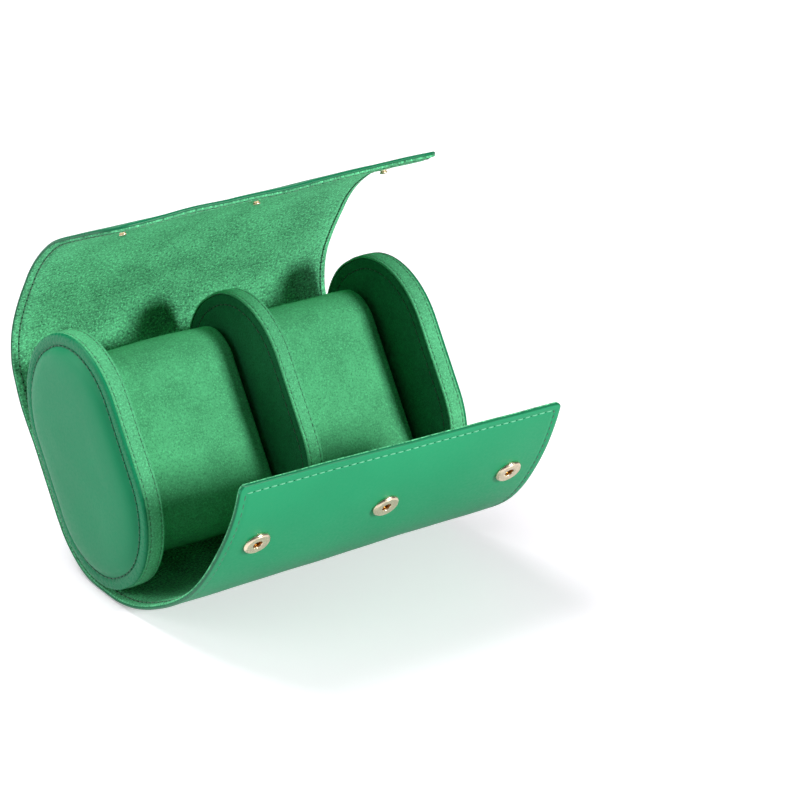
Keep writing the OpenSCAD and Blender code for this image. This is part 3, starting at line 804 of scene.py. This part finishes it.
def suede(name, base, on_surface=False, nap=1.0, grain=1.0, fleck=1.0):
    """Suede: nap brushed lighter and darker in patches, under a fine fleck of both."""
    f = Finish(name, on_surface)
    patch = f.spread(f.noise(21 * MM, 4, 0.62), 0.4, 0.62)
    stroke = f.spread(f.noise(5 * MM, 3, 0.6, (1, 2.2, 1.6)), 0.34, 0.68)
    soft = f.mix(patch, shade(base, 1 - 0.3 * nap), shade(base, 1 + 0.1 * nap))
    brushed = f.mix(stroke, soft, f.mix(patch, shade(base, 1 - 0.1 * nap), shade(base, 1.06)))
    dark = f.spread(f.noise(0.75 * MM * grain, 3, 0.8), 0.36, 0.54)
    light = f.spread(f.noise(0.6 * MM * grain, 3, 0.8), 0.5, 0.66)
    flecked = f.mix(dark, shade(base, 1 - 0.42 * fleck), brushed)
    f.colour(f.mix(light, flecked, shade(base, 1 + 0.4 * fleck)))
    f.bump((f.noise(6 * MM, 3), 0.3, 0.3 * MM),
           (f.noise(0.8 * MM * grain, 3, 0.8), 0.7, 0.35 * MM),
           (f.noise(0.45 * MM, 2, 0.6), 0.5, 0.15 * MM))
    f.gloss(Roughness=0.95, Specular_IOR_Level=0.1, Sheen_Weight=0.25, Sheen_Roughness=0.5,
            Sheen_Tint=shade(base, 1.6))
    return f.material


def thread_finish(name, base):
    """Twisted sewing thread: fine slanting ridges."""
    f = Finish(name)
    f.colour(f.mix(f.spread(f.noise(0.5 * MM), 0.3, 0.7), shade(base, 0.8), shade(base, 1.1)))
    f.bump((f.noise(0.25 * MM, 1, 0.5, (2.5, 1, 1)), 0.6, 0.1 * MM))
    f.gloss(Roughness=0.55, Sheen_Weight=0.2)
    return f.material


def metal(name, base, rough, worn=0.06):
    """Plated metal: a faint change of polish and a few fine marks."""
    f = Finish(name)
    f.colour(f.mix(f.spread(f.noise(2.5 * MM, 3), 0.3, 0.7), shade(base, 0.93), base))
    f.roughness(f.spread(f.noise(0.9 * MM, 4), 0.3, 0.7, rough - worn, rough + worn))
    f.bump((f.noise(1.6 * MM, 2), 0.12, 0.05 * MM))
    f.gloss(Metallic=1.0)
    return f.material


def plain(name, base, grain, rough=0.85):
    """Board, foam and the painted shade of the needle holes: a matt stuff with a visible grain.
    """
    f = Finish(name)
    grains = f.noise(grain, 4, 0.6)
    f.colour(f.mix(f.spread(grains, 0.3, 0.7), shade(base, 0.85), base))
    f.bump((grains, 0.5, grain * 0.2))
    f.gloss(Roughness=rough, Specular_IOR_Level=0.2)
    return f.material


def hole_shade_of(base):
    """Painted shade for the needle holes: a near-black copy of the base colour, 0.12 of it, for
    the shadow inside a hole.
    """
    return plain("needle_hole_painted_shade", shade(base, 0.12), 0.5 * MM)


# ---- operators ----

class CaseOperator:
    """What all the operators share."""
    bl_options = {"REGISTER", "UNDO"}


class CASE_OT_wrap(CaseOperator, bpy.types.Operator):
    """Make the leather and the suede lining of the wrap, in six pieces, each across one fold"""
    bl_idname = "case.wrap"
    bl_label = "Wrap"

    # The CAD nodes that each piece of leather, or of lining, stands for
    STANDS_FOR = {"lid_front_fold": ("lid_front",), "lid_fold": ("lid_crown",),
                  "lid_hinge": ("lid_rear", "back"), "front_hinge": ("front_lower",),
                  "front_fold": ("front_middle",), "front_upper_fold": ("front_upper",)}

    def execute(self, context):
        wrap, surface = settings("case_wrap"), wrap_surface()
        leather = smooth_leather("smooth_green_leather", wrap.leather_colour, True)
        # The leather's edge faces take a darker copy of the leather, 0.6 of its colour.
        edge = smooth_leather("rolled_edge", shade(wrap.leather_colour, 0.6), True, 0.3)
        lining = suede("suede_lining", wrap.suede_colour, True, 1.8, 1.5, 1.8)
        leather_rounds = (EDGE_ROUND, wrap.leather - EDGE_THIN - EDGE_ROUND)
        lining_rounds = (LINING_ROUND, wrap.lining - LINING_ROUND)
        for fold, place, start, end in wrap_spans(surface):
            name = label_of(fold)
            outside = sheet_of_wrap(f"wrap_leather_{name}", surface, start, end, 0,
                                    wrap.leather, 0, leather_rounds, (0.2 * MM, 0),
                                    [leather, edge])
            inside = sheet_of_wrap(f"wrap_lining_{name}", surface, start, end, wrap.leather,
                                   wrap.leather + wrap.lining, wrap.lining_inset,
                                   lining_rounds, (0, 0.25 * MM), [lining])
            panels = self.STANDS_FOR[fold[0]]
            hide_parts(*[f"{p}_{k}" for p in panels for k in ("leather", "board")])
            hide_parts(*[f"{p}_lining" for p in panels])
            for piece in (outside, inside):
                bend_with(piece, surface, fold, place)
        return {"FINISHED"}


class CASE_OT_wrap_seam(CaseOperator, bpy.types.Operator):
    """Sew the wrap's seam: the stitches on its leather and on its lining"""
    bl_idname = "case.wrap_seam"
    bl_label = "Wrap Seam"

    def execute(self, context):
        wrap, sewing = settings("case_wrap"), settings("case_stitch")
        surface = wrap_surface()
        starts, ends = seam_stitches(surface, sewing.inset)
        thread = thread_finish("green_thread", sewing.thread_colour)
        # The stitches down the side edges take the thread darkened to 0.22, painted shade; the
        # stitches along the lips keep the thread's own colour.
        shaded = thread_finish("edge_thread_painted_shade", shade(sewing.thread_colour, 0.22))
        inner = thread_finish("lining_thread", shade(wrap.suede_colour, 0.4))
        dark = hole_shade_of(wrap.leather_colour)
        on_lip = np.abs(ends[:, 0] - starts[:, 0]) > 0.6 * sewing.run
        # Each row's name, its stitches, their depth, the way they face, and their thread
        rows = (("leather_lip", on_lip, 0.2 * MM, -1, thread),
                ("leather_edge", ~on_lip, 0.2 * MM, -1, shaded),
                ("lining", True, wrap.leather + wrap.lining - 0.4 * MM, 1, inner))
        for fold, place, low, high in wrap_spans(surface):
            span = (starts[:, 1] >= low) & (starts[:, 1] < high)
            for side, chosen, depth, sign, yarn in rows:
                mine = span & chosen
                if not mine.any():
                    continue
                a = surface.point(*starts[mine].T, depth)
                b = surface.point(*ends[mine].T, depth)
                normals = square_to_x(surface.inward(starts[mine, 1], starts[mine, 0]) * sign)
                piece = stitch_object(f"seam_{side}_{label_of(fold)}", a, b, normals,
                                      [yarn, dark])
                bend_with(piece, surface, fold, place)
        return {"FINISHED"}


def cap_shape():
    """Height, depth and corner radius of the caps' outline, which the divider has too."""
    cap = settings("case_cap")
    return cap.height, cap.depth, cap.corner


def band_piece(name, low, high, material, thread_materials, body):
    """A suede band: a flat strip with round edges, a slight crown, and a sewn line 1.1 mm
    inside each edge. Its stitches are a piece of their own."""
    # One half of the strip in mm: how far in from its edge, and how far under its outline
    half = [(0, .36), (.08, .12), (.34, 0), (.72, -.04), (.95, .06), (1.1, .16), (1.25, .06),
            (1.5, -.05), (2.2, -.10)]
    left = [(low + a * MM, b * MM) for a, b in half]
    right = [(high - a * MM, b * MM) for a, b in half[::-1]]
    profile = left + [((low + high) / 2, -.14 * MM)] + right + [(high, .8 * MM), (low, .8 * MM)]

    def uneven(x, flat, inset):
        if inset > 0.5 * MM:
            return np.zeros(len(flat))
        u, v = flat[:, 0] / MM, flat[:, 1] / MM
        return 0.06 * MM * np.sin(0.31 * u + 0.23 * v + 90 * x) * np.sin(0.17 * v - 0.11 * u)

    piece = ring_solid(f"{name}_suede", cap_shape(), CAP_MIDDLE, profile, [material], uneven)
    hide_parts(name)
    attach(piece, body)
    flat, out = outline(FINE, *cap_shape(), inset=0.16 * MM)
    seams = []
    for x in (low + 1.1 * MM, high - 1.1 * MM):
        starts, ends, _ = cap_stitches(0.13 * MM, x, 1, 2.3 * MM, 1.7 * MM)
        spots = to_row(np.full(FINE, x), flat, CAP_MIDDLE)
        near = np.argmin(np.linalg.norm(starts[:, None] - spots[None], axis=2), axis=1)
        seams.append((starts, ends, square_to_x(out[near, 0:1] * BACK + out[near, 1:2] * UP)))
    starts, ends, normals = (np.vstack(rows) for rows in zip(*seams))
    threads, faces = stitch_rows(starts, ends, normals, 0.1 * MM, 0.15 * MM)
    sewn = make_object(f"{name}_stitches", threads, faces, thread_materials[:1], 180)
    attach(sewn, body)


def facing_piece(name, material, thread_materials, body):
    """A suede facing: a thin plate with round edges and a sewn line 5 mm inside its edge."""
    low, high = (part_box(name)[k].x for k in (0, 1))
    outside = 1 if name.startswith("left_cap") or "right_facing" in name else -1
    front, rear = (high, low) if outside > 0 else (low, high)
    # From the middle to the edge in mm: how far under the face, and how far inside the edge
    t = [(0, 22), (0, 12), (0, 8), (.02, 6.2), (.1, 5.5), (.22, 5), (.1, 4.5), (.02, 3.8),
         (0, 2.6), (.05, 1.7), (.2, 1.25), (.5, 1.0)]
    profile = [(front - outside * a * MM, b * MM) for a, b in t]
    profile += [(rear, 1.0 * MM), (rear, 3 * MM)]
    piece = plate_solid(name + "_suede", cap_shape(), CAP_MIDDLE, profile, [material])
    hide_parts(name)
    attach(piece, body)
    sewing = settings("case_stitch")
    seam = cap_stitches(5 * MM, front - outside * .2 * MM, outside, sewing.pitch, sewing.run)
    sewn = stitch_object(name + "_stitches", *seam, thread_materials)
    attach(sewn, body)


class CASE_OT_caps(CaseOperator, bpy.types.Operator):
    """Make the two end caps: padded leather faces, suede bands and inner facings"""
    bl_idname = "case.caps"
    bl_label = "End Caps"

    def execute(self, context):
        cap = settings("case_cap")
        # The rim between the seam and the edge takes a copy of the face leather darkened to 0.85
        # and less shiny: painted shade where the rim turns away from the light that the face
        # reflects.
        faces = [smooth_leather("cap_leather", cap.face_colour, rough=0.36, shine=0.17),
                 smooth_leather("cap_rim_leather_painted_shade", shade(cap.face_colour, 0.85), rough=0.26,
                                shine=0.12)]
        # The facings' suede and their thread take the darkened facing colour, which is painted
        # shade.
        facing = suede("facing_suede", cap.facing_colour_painted_shade)
        band = suede("band_suede", cap.band_colour, nap=0.7)
        thread = thread_finish("cap_thread", shade(cap.face_colour, 0.5))
        inner = thread_finish("facing_thread_painted_shade", shade(cap.facing_colour_painted_shade, 0.3))
        dark = hole_shade_of(cap.face_colour)
        for side, sign in (("left_cap", -1), ("right_cap", 1)):
            low, high = (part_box(side + "_band")[k].x for k in (0, 1))
            band_piece(side + "_band", low, high, band, [inner, dark], "case")
            facing_piece(side + "_facing", facing, [inner, dark], "case")
            self.cover(side, sign, low if sign < 0 else high, faces, [thread, dark])
        return {"FINISHED"}

    def cover(self, side, sign, edge, faces, threads):
        """The padded face: a rim rolled over the edge, the sewn groove, and a swollen middle
        that rises on (1 - k^2) towards the centre, with slow dents."""
        cap, sewing = settings("case_cap"), settings("case_stitch")
        seam, puff = cap.seam / MM, cap.puff / MM
        # From the middle to the edge: the share of the puff, and how far inside the outline
        rise = [(.96, seam + 13), (.92, seam + 10), (.86, seam + 7.4), (.79, seam + 5.4),
                (.70, seam + 3.8), (.59, seam + 2.5), (.44, seam + 1.4), (.30, seam + .6),
                (.22, seam), (.26, seam - .7), (.30, seam - 1.4), (.30, seam - 2.2),
                (.29, 1.6), (.265, .95), (.22, .45), (.15, .15), (.07, .02), (.012, .02),
                (0, .14), (0, .5), (0, .9)]
        curve = smooth_curve([(share * puff, inset) for share, inset in rise], 3)
        profile = [(edge + sign * h * MM, inset * MM) for h, inset in curve]
        profile.append((edge, 6 * MM))

        def swell(flat, x, k):
            if abs(x - edge) < .3 * MM:
                return np.zeros(len(flat))
            u, v = flat[:, 0] / MM, flat[:, 1] / MM
            dents = .12 * np.sin(.11 * u + .8) * np.sin(.083 * v + 2.0 + sign)
            dents = dents + .05 * np.sin(.23 * u - .17 * v + 1.1)
            fade = np.clip((1 - k) * 4, 0, 1)
            return sign * MM * (.07 * puff * (1 - k * k) + dents * fade)

        piece = plate_solid(side + "_padded_face", cap_shape(), CAP_MIDDLE, profile,
                            faces, swell, angle=70, rim=cap.seam * .98)
        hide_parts(side + "_cover", side + "_pad")
        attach(piece, "case")
        stitches = cap_stitches(cap.seam, edge + sign * .245 * cap.puff, sign,
                                sewing.pitch * .92, sewing.run * .9)
        sewn = stitch_object(side + "_face_stitches", *stitches, threads)
        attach(sewn, "case")


class CASE_OT_divider(CaseOperator, bpy.types.Operator):
    """Make the divider: its suede band and the facings on its two sides"""
    bl_idname = "case.divider"
    bl_label = "Divider"

    def execute(self, context):
        cap = settings("case_cap")
        # The facings' suede and their thread take the darkened facing colour, which is painted
        # shade.
        facing = suede("facing_suede", cap.facing_colour_painted_shade)
        band = suede("band_suede", cap.band_colour, nap=0.7)
        threads = [thread_finish("facing_thread_painted_shade", shade(cap.facing_colour_painted_shade, 0.3)),
                   hole_shade_of(cap.face_colour)]
        low, high = (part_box("divider_band")[k].x for k in (0, 1))
        band_piece("divider_band", low, high, band, threads, "case")
        for name in ("divider_left_facing", "divider_right_facing"):
            facing_piece(name, facing, threads, "case")
        return {"FINISHED"}


class CASE_OT_pillows(CaseOperator, bpy.types.Operator):
    """Make the two watch pillows: swollen suede sleeves and their end discs"""
    bl_idname = "case.pillows"
    bl_label = "Pillows"

    MOUTH_ROUND = 1.1 * MM      # radius of the sleeve's rims
    SLEEVE_WALL = 1.9 * MM      # how far in the sleeve's inner side lies
    # A disc from its middle to its edge in mm: how deep in the mouth, how far inside the edge
    DISC = ((.1, 12), (.12, 5), (.2, 3), (.4, 2.3), (.9, 2.0), (1.5, 2.1), (1.6, 4))

    def execute(self, context):
        p = settings("case_pillow")
        # The pillows' suede colour is darkened below the lining's as painted shade.
        cloth = suede("pillow_suede_painted_shade", p.suede_colour, fleck=0.9)
        shape = (p.height, p.depth, p.corner)
        for body in ("left_pillow", "right_pillow"):
            low, high = (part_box(body + "_sleeve")[k].x for k in (0, 1))
            middle = middle_of(body + "_sleeve")[1:]
            steps = np.concatenate([[0, .12, .4, .8, 1.3, 2, 3.2, 5],
                                    np.linspace(7, (high - low) / MM / 2, 10)]) * MM
            half = list(zip(low + steps, fall_of(self.MOUTH_ROUND, steps)))
            rest = [(high - (x - low), d) for x, d in half[::-1]][1:]
            inner = [(high, self.SLEEVE_WALL), (low, self.SLEEVE_WALL)]

            def swell(x, flat, inset, low=low, high=high, turn=len(body)):
                if inset > 1.5 * MM:
                    return np.zeros(len(flat))
                u = (x - low) / (high - low)
                crown = p.crown * (1 - (2 * u - 1) ** 4)
                back, up = flat[:, 0] / MM, flat[:, 1] / MM
                dents = .22 * np.sin(.09 * up + .12 * x / MM + turn) * np.sin(.07 * x / MM + 1)
                dents = dents + .12 * np.sin(.21 * up - .15 * x / MM) * np.sin(.13 * back)
                return crown + dents * MM * np.clip(u * (1 - u) * 8, 0, 1)

            sleeve = ring_solid(body + "_cushion", shape, middle, half + rest + inner, [cloth],
                                swell, angle=60)
            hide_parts(body + "_sleeve")
            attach(sleeve, body)
            self.ends(body, shape, middle, low, high, cloth)
        return {"FINISHED"}

    def ends(self, body, shape, middle, low, high, cloth):
        """End discs: thin plates with round edges, set in the mouths of the sleeve."""
        for name, face, sign in (("left", low, 1), ("right", high, -1)):
            profile = [(face + sign * a * MM, b * MM) for a, b in self.DISC]
            piece = plate_solid(f"{body}_{name}_end", shape, middle, profile, [cloth])
            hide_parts(body + "_ends")
            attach(piece, body)


def turned(name, profile, places, axes, materials, within=0.0):
    """Solids of revolution: (radius, height) points turned about each axis at each place.
    Faces nearer the axis than a radius take the second material."""
    profile = np.array(profile) * MM
    turn = np.arange(TURNED) * 2 * math.pi / TURNED
    first = np.array([1.0, 0, 0])
    verts, faces = [], []
    for place, axis in zip(places, axes):
        ring = first * np.cos(turn)[:, None] + np.cross(axis, first) * np.sin(turn)[:, None]
        points = place + ring[None] * profile[:, None, 0:1] + axis * profile[:, None, 1:2]
        faces += grid_faces(len(profile), TURNED, wrap_cols=True,
                            start=len(verts) * len(profile) * TURNED).tolist()
        verts.append(points.reshape(-1, 3))
    obj = make_object(name, np.vstack(verts), faces, materials, 40)
    for polygon in obj.data.polygons:
        away = np.array(polygon.center)[None] - np.array(places)
        off = np.linalg.norm(np.cross(away, np.array(axes)), axis=1)
        if off.min() < within:
            polygon.material_index = 1
    return obj


class CASE_OT_snaps(CaseOperator, bpy.types.Operator):
    """Make the three press studs: sockets on the front panel and ball studs under the lid"""
    bl_idname = "case.snaps"
    bl_label = "Press Studs"

    # The studs' line is more skewed than the sockets', and nearer to its lip, by so much that
    # each stud meets its socket when the case is shut
    LID_SKEW = 1.25
    LID_SLIP = 0.16 * MM

    def execute(self, context):
        wrap, snap = settings("case_wrap"), settings("case_snap")
        gold = metal("gold_metal", snap.metal_colour, 0.24)
        # The hole's faces take brass darkened as painted shade inside the shallow hole; the
        # springs and eyelets share it.
        brass = metal("socket_brass_and_shade", snap.hole_colour_brass_and_shade, 0.3)
        steel = metal("spring_steel", shade(snap.metal_colour, 0.75), 0.3)
        ring, rise, hole = (v / MM for v in (snap.ring, snap.rise, snap.hole))
        inside = wrap.leather / MM
        under = (wrap.leather + wrap.lining) / MM
        # Profiles in mm: radius, and height over the face that the piece sits on
        socket = [(0, -.3), (ring - .5, -.3), (ring - .1, -.1), (ring, .25),
                  (ring - .05, .7), (ring - .3, 1.15), (ring - .75, 1.5),
                  (ring - 1.3, rise - .12), (ring - 2.0, rise), (hole + .45, rise - .05),
                  (hole + .15, rise - .17), (hole, rise - .45), (hole - .05, .45),
                  (hole - .25, .1), (0, -.05)]
        spring = [(hole - .12, .95), (hole - .3, 1.13), (hole - .5, .95), (hole - .3, .77),
                  (hole - .12, .95)]
        eyelet = [(0, 0), (4.2, 0), (4.4, .12), (4.4, .38), (4.2, .5), (0, .5)]
        stud = [(0, -.15), (2.7, -.15), (3.0, 0), (3.0, .14), (2.8, .26), (2.2, .32),
                (1.4, .36), (1.1, .44), (1.05, .62), (1.25, .8), (1.45, 1.05), (1.48, 1.25),
                (1.34, 1.48), (.95, 1.68), (.45, 1.76), (0, 1.78)]
        rivet = [(0, 0), (2.9, 0), (3.1, .1), (3.1, .35), (2.9, .45), (0, .45)]
        self.make("snap_sockets", "snap_socket_rings", socket, 0, -1, [gold, brass],
                  "front_upper", "gold_metal", within=snap.hole)
        self.make("snap_sockets", "snap_socket_springs", spring, 0, -1, [brass],
                  "front_upper", "spring_steel", "socket_springs")
        self.make("snap_sockets", "snap_socket_eyelets", eyelet, inside - .6, 1, [brass],
                  "front_upper", "gold_metal", "socket_eyelets")
        self.make("snap_studs", "snap_ball_studs", stud, under - .1, 1, [gold],
                  "lid_front", "gold_metal")
        self.make("snap_studs", "snap_stud_rivets", rivet, inside - .5, 1, [steel],
                  "lid_front", "gold_metal", "stud_rivets")
        return {"FINISHED"}

    def make(self, at, name, profile, depth, sign, materials, body, slot, stands_for=None,
             within=0.0):
        """Three like pieces at a depth below the outer face, turned about its normal. Their
        line follows the lips, so its right end lies a little nearer to the lid's lip."""
        snap, surface = settings("case_snap"), wrap_surface()
        side = np.array([-1, 0, 1])
        skew, slip = snap.skew, 0
        if body == "lid_front":
            skew, slip = snap.skew * self.LID_SKEW, self.LID_SLIP
        s = surface.s_near(middle_of(at)[1:]) - slip - skew * side
        places = surface.point(side * snap.pitch, s, depth * MM)
        axes = square_to_x(surface.inward(s, side * snap.pitch) * sign)
        piece = turned(name, profile, places, axes, materials, within)
        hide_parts(stands_for or at)
        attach(piece, body)


class CASE_OT_hidden(CaseOperator, bpy.types.Operator):
    """Give the pieces inside the caps and pillows their finishes"""
    bl_idname = "case.hidden"
    bl_label = "Pieces Inside"

    def execute(self, context):
        board = plain("stiffening_board", [.42, .38, .30, 1], 0.8 * MM)
        card = plain("former_board", [.52, .44, .32, 1], 1.0 * MM)
        foam = plain("foam", [.78, .74, .60, 1], 0.7 * MM, 0.95)
        for name, node in frame["nodes"].items():
            kind = board if name.endswith("core") else card if name.endswith("former") else foam
            if not node.hide_render:
                node.data.materials.clear()
                node.data.materials.append(kind)
        return {"FINISHED"}


class CASE_OT_stage(CaseOperator, bpy.types.Operator):
    """Set the floor, the lamps, the surroundings and the camera"""
    bl_idname = "case.stage"
    bl_label = "Stage"

    # Each lamp's name, its place and aim in metres, its width in metres and power in watts
    LAMPS = (("key", (0.45, -1.3, 0.6), (0, 0, .07), 0.24, 23),
             ("left_soft", (-1.45, 0.05, 0.75), (0, 0, .06), 0.8, 4.5),
             ("left_back", (-1.15, 0.95, 0.5), (0, 0, .06), 0.8, 6),
             ("back_top", (-0.3, 0.5, 1.4), (0, 0, .05), 0.8, 19))
    FLOOR_REACH, FLOOR_DROP = 6.0, 0.0002       # half the floor's width, and its depth
    SOFT_LIGHT = 0.11           # strength of the light from all round

    def execute(self, context):
        stage = settings("case_stage")
        scene = context.scene
        scene.view_settings.view_transform = "Standard"
        self.floor(stage)
        self.world(scene)
        for lamp in self.LAMPS:
            self.lamp(*lamp)
        data = bpy.data.cameras.new("camera")
        data.lens = stage.lens
        data.sensor_width = 36
        data.clip_end = 50
        camera = bpy.data.objects.new("camera", data)
        camera.location = (stage.camera_x, stage.camera_y, stage.camera_z)
        camera.rotation_euler = (stage.tilt, stage.roll, stage.turn)
        scene.collection.objects.link(camera)
        scene.camera = camera
        return {"FINISHED"}

    def floor(self, stage):
        """A wide flat sheet just under the case, that looks white where nothing shades it.
        What the camera sees of it glows, faintly near the case and white from 1.6 m."""
        corners = np.array([(-1, -1), (1, -1), (1, 1), (-1, 1)]) * self.FLOOR_REACH
        mesh = bpy.data.meshes.new("floor")
        mesh.from_pydata([(x, y, -self.FLOOR_DROP) for x, y in corners], [], [(0, 1, 2, 3)])
        floor = bpy.data.objects.new("floor", mesh)
        bpy.context.scene.collection.objects.link(floor)
        f = Finish("pale_floor")
        f.colour(f.mix(f.spread(f.noise(0.6, 2), .3, .7), shade(stage.floor_colour, .985),
                       stage.floor_colour))
        f.gloss(Roughness=0.38, Specular_IOR_Level=0.35)
        glow = f.node("ShaderNodeEmission")
        glow.inputs["Color"].default_value = (1, 1, 1, 1)
        seen = f.node("ShaderNodeLightPath")
        away = f.node("ShaderNodeVectorMath", operation="LENGTH")
        f.link(f.place, away.inputs[0])
        rising = f.spread(away.outputs["Value"], 0.3, 1.6, 0.3, 1.1)
        f.link(f.times(seen.outputs["Is Camera Ray"], rising), glow.inputs["Strength"])
        both = f.node("ShaderNodeAddShader")
        f.link(f.shader.outputs["BSDF"], both.inputs[0])
        f.link(glow.outputs["Emission"], both.inputs[1])
        out = next(n for n in f.tree.nodes if n.type == "OUTPUT_MATERIAL")
        f.link(both.outputs[0], out.inputs["Surface"])
        mesh.materials.append(f.material)

    def world(self, scene):
        """Even soft light from all round, seen as white."""
        world = bpy.data.worlds.new("studio")
        scene.world = world
        world.use_nodes = True
        tree = world.node_tree
        back = next(n for n in tree.nodes if n.type == "BACKGROUND")
        back.inputs["Color"].default_value = (0.96, 0.98, 1, 1)
        path = tree.nodes.new("ShaderNodeLightPath")
        pick = tree.nodes.new("ShaderNodeMapRange")
        pick.inputs["To Min"].default_value = self.SOFT_LIGHT
        pick.inputs["To Max"].default_value = 1.0
        tree.links.new(path.outputs["Is Camera Ray"], pick.inputs["Value"])
        tree.links.new(pick.outputs["Result"], back.inputs["Strength"])

    def lamp(self, name, place, aim, width, power):
        """A square lamp, turned from straight down to shine at its aim."""
        data = bpy.data.lights.new(name, "AREA")
        data.shape = "SQUARE"
        data.size = width
        data.energy = power
        obj = bpy.data.objects.new(name, data)
        way = unit(np.array(aim, float) - np.array(place, float))
        obj.location = place
        obj.rotation_euler = (math.acos(-way[2]), 0, math.atan2(-way[0], way[1]))
        bpy.context.scene.collection.objects.link(obj)


class CASE_PT_panel(bpy.types.Panel):
    """The settings, and a button for each piece"""
    bl_label = "Watch Travel Case"
    bl_space_type = "VIEW_3D"
    bl_region_type = "UI"
    bl_category = "Watch Case"

    def draw(self, context):
        for name, kind in SETTINGS.items():
            box = self.layout.box()
            for prop in kind.__annotations__:
                box.prop(getattr(context.scene, name), prop)
        for operator in OPERATORS:
            self.layout.operator(operator.bl_idname)


OPERATORS = (CASE_OT_wrap, CASE_OT_wrap_seam, CASE_OT_caps, CASE_OT_divider, CASE_OT_pillows,
             CASE_OT_snaps, CASE_OT_hidden, CASE_OT_stage)
CLASSES = tuple(SETTINGS.values()) + OPERATORS + (CASE_PT_panel,)


def register():
    for c in CLASSES:
        bpy.utils.register_class(c)
    for name, kind in SETTINGS.items():
        setattr(bpy.types.Scene, name, bpy.props.PointerProperty(type=kind))


def unregister():
    for name in SETTINGS:
        delattr(bpy.types.Scene, name)
    for c in reversed(CLASSES):
        bpy.utils.unregister_class(c)


def main():
    """Makes the whole case and its stage."""
    register()
    for operator in OPERATORS:
        space, name = operator.bl_idname.split(".")
        getattr(getattr(bpy.ops, space), name)()


if __name__ == "__main__":
    main()
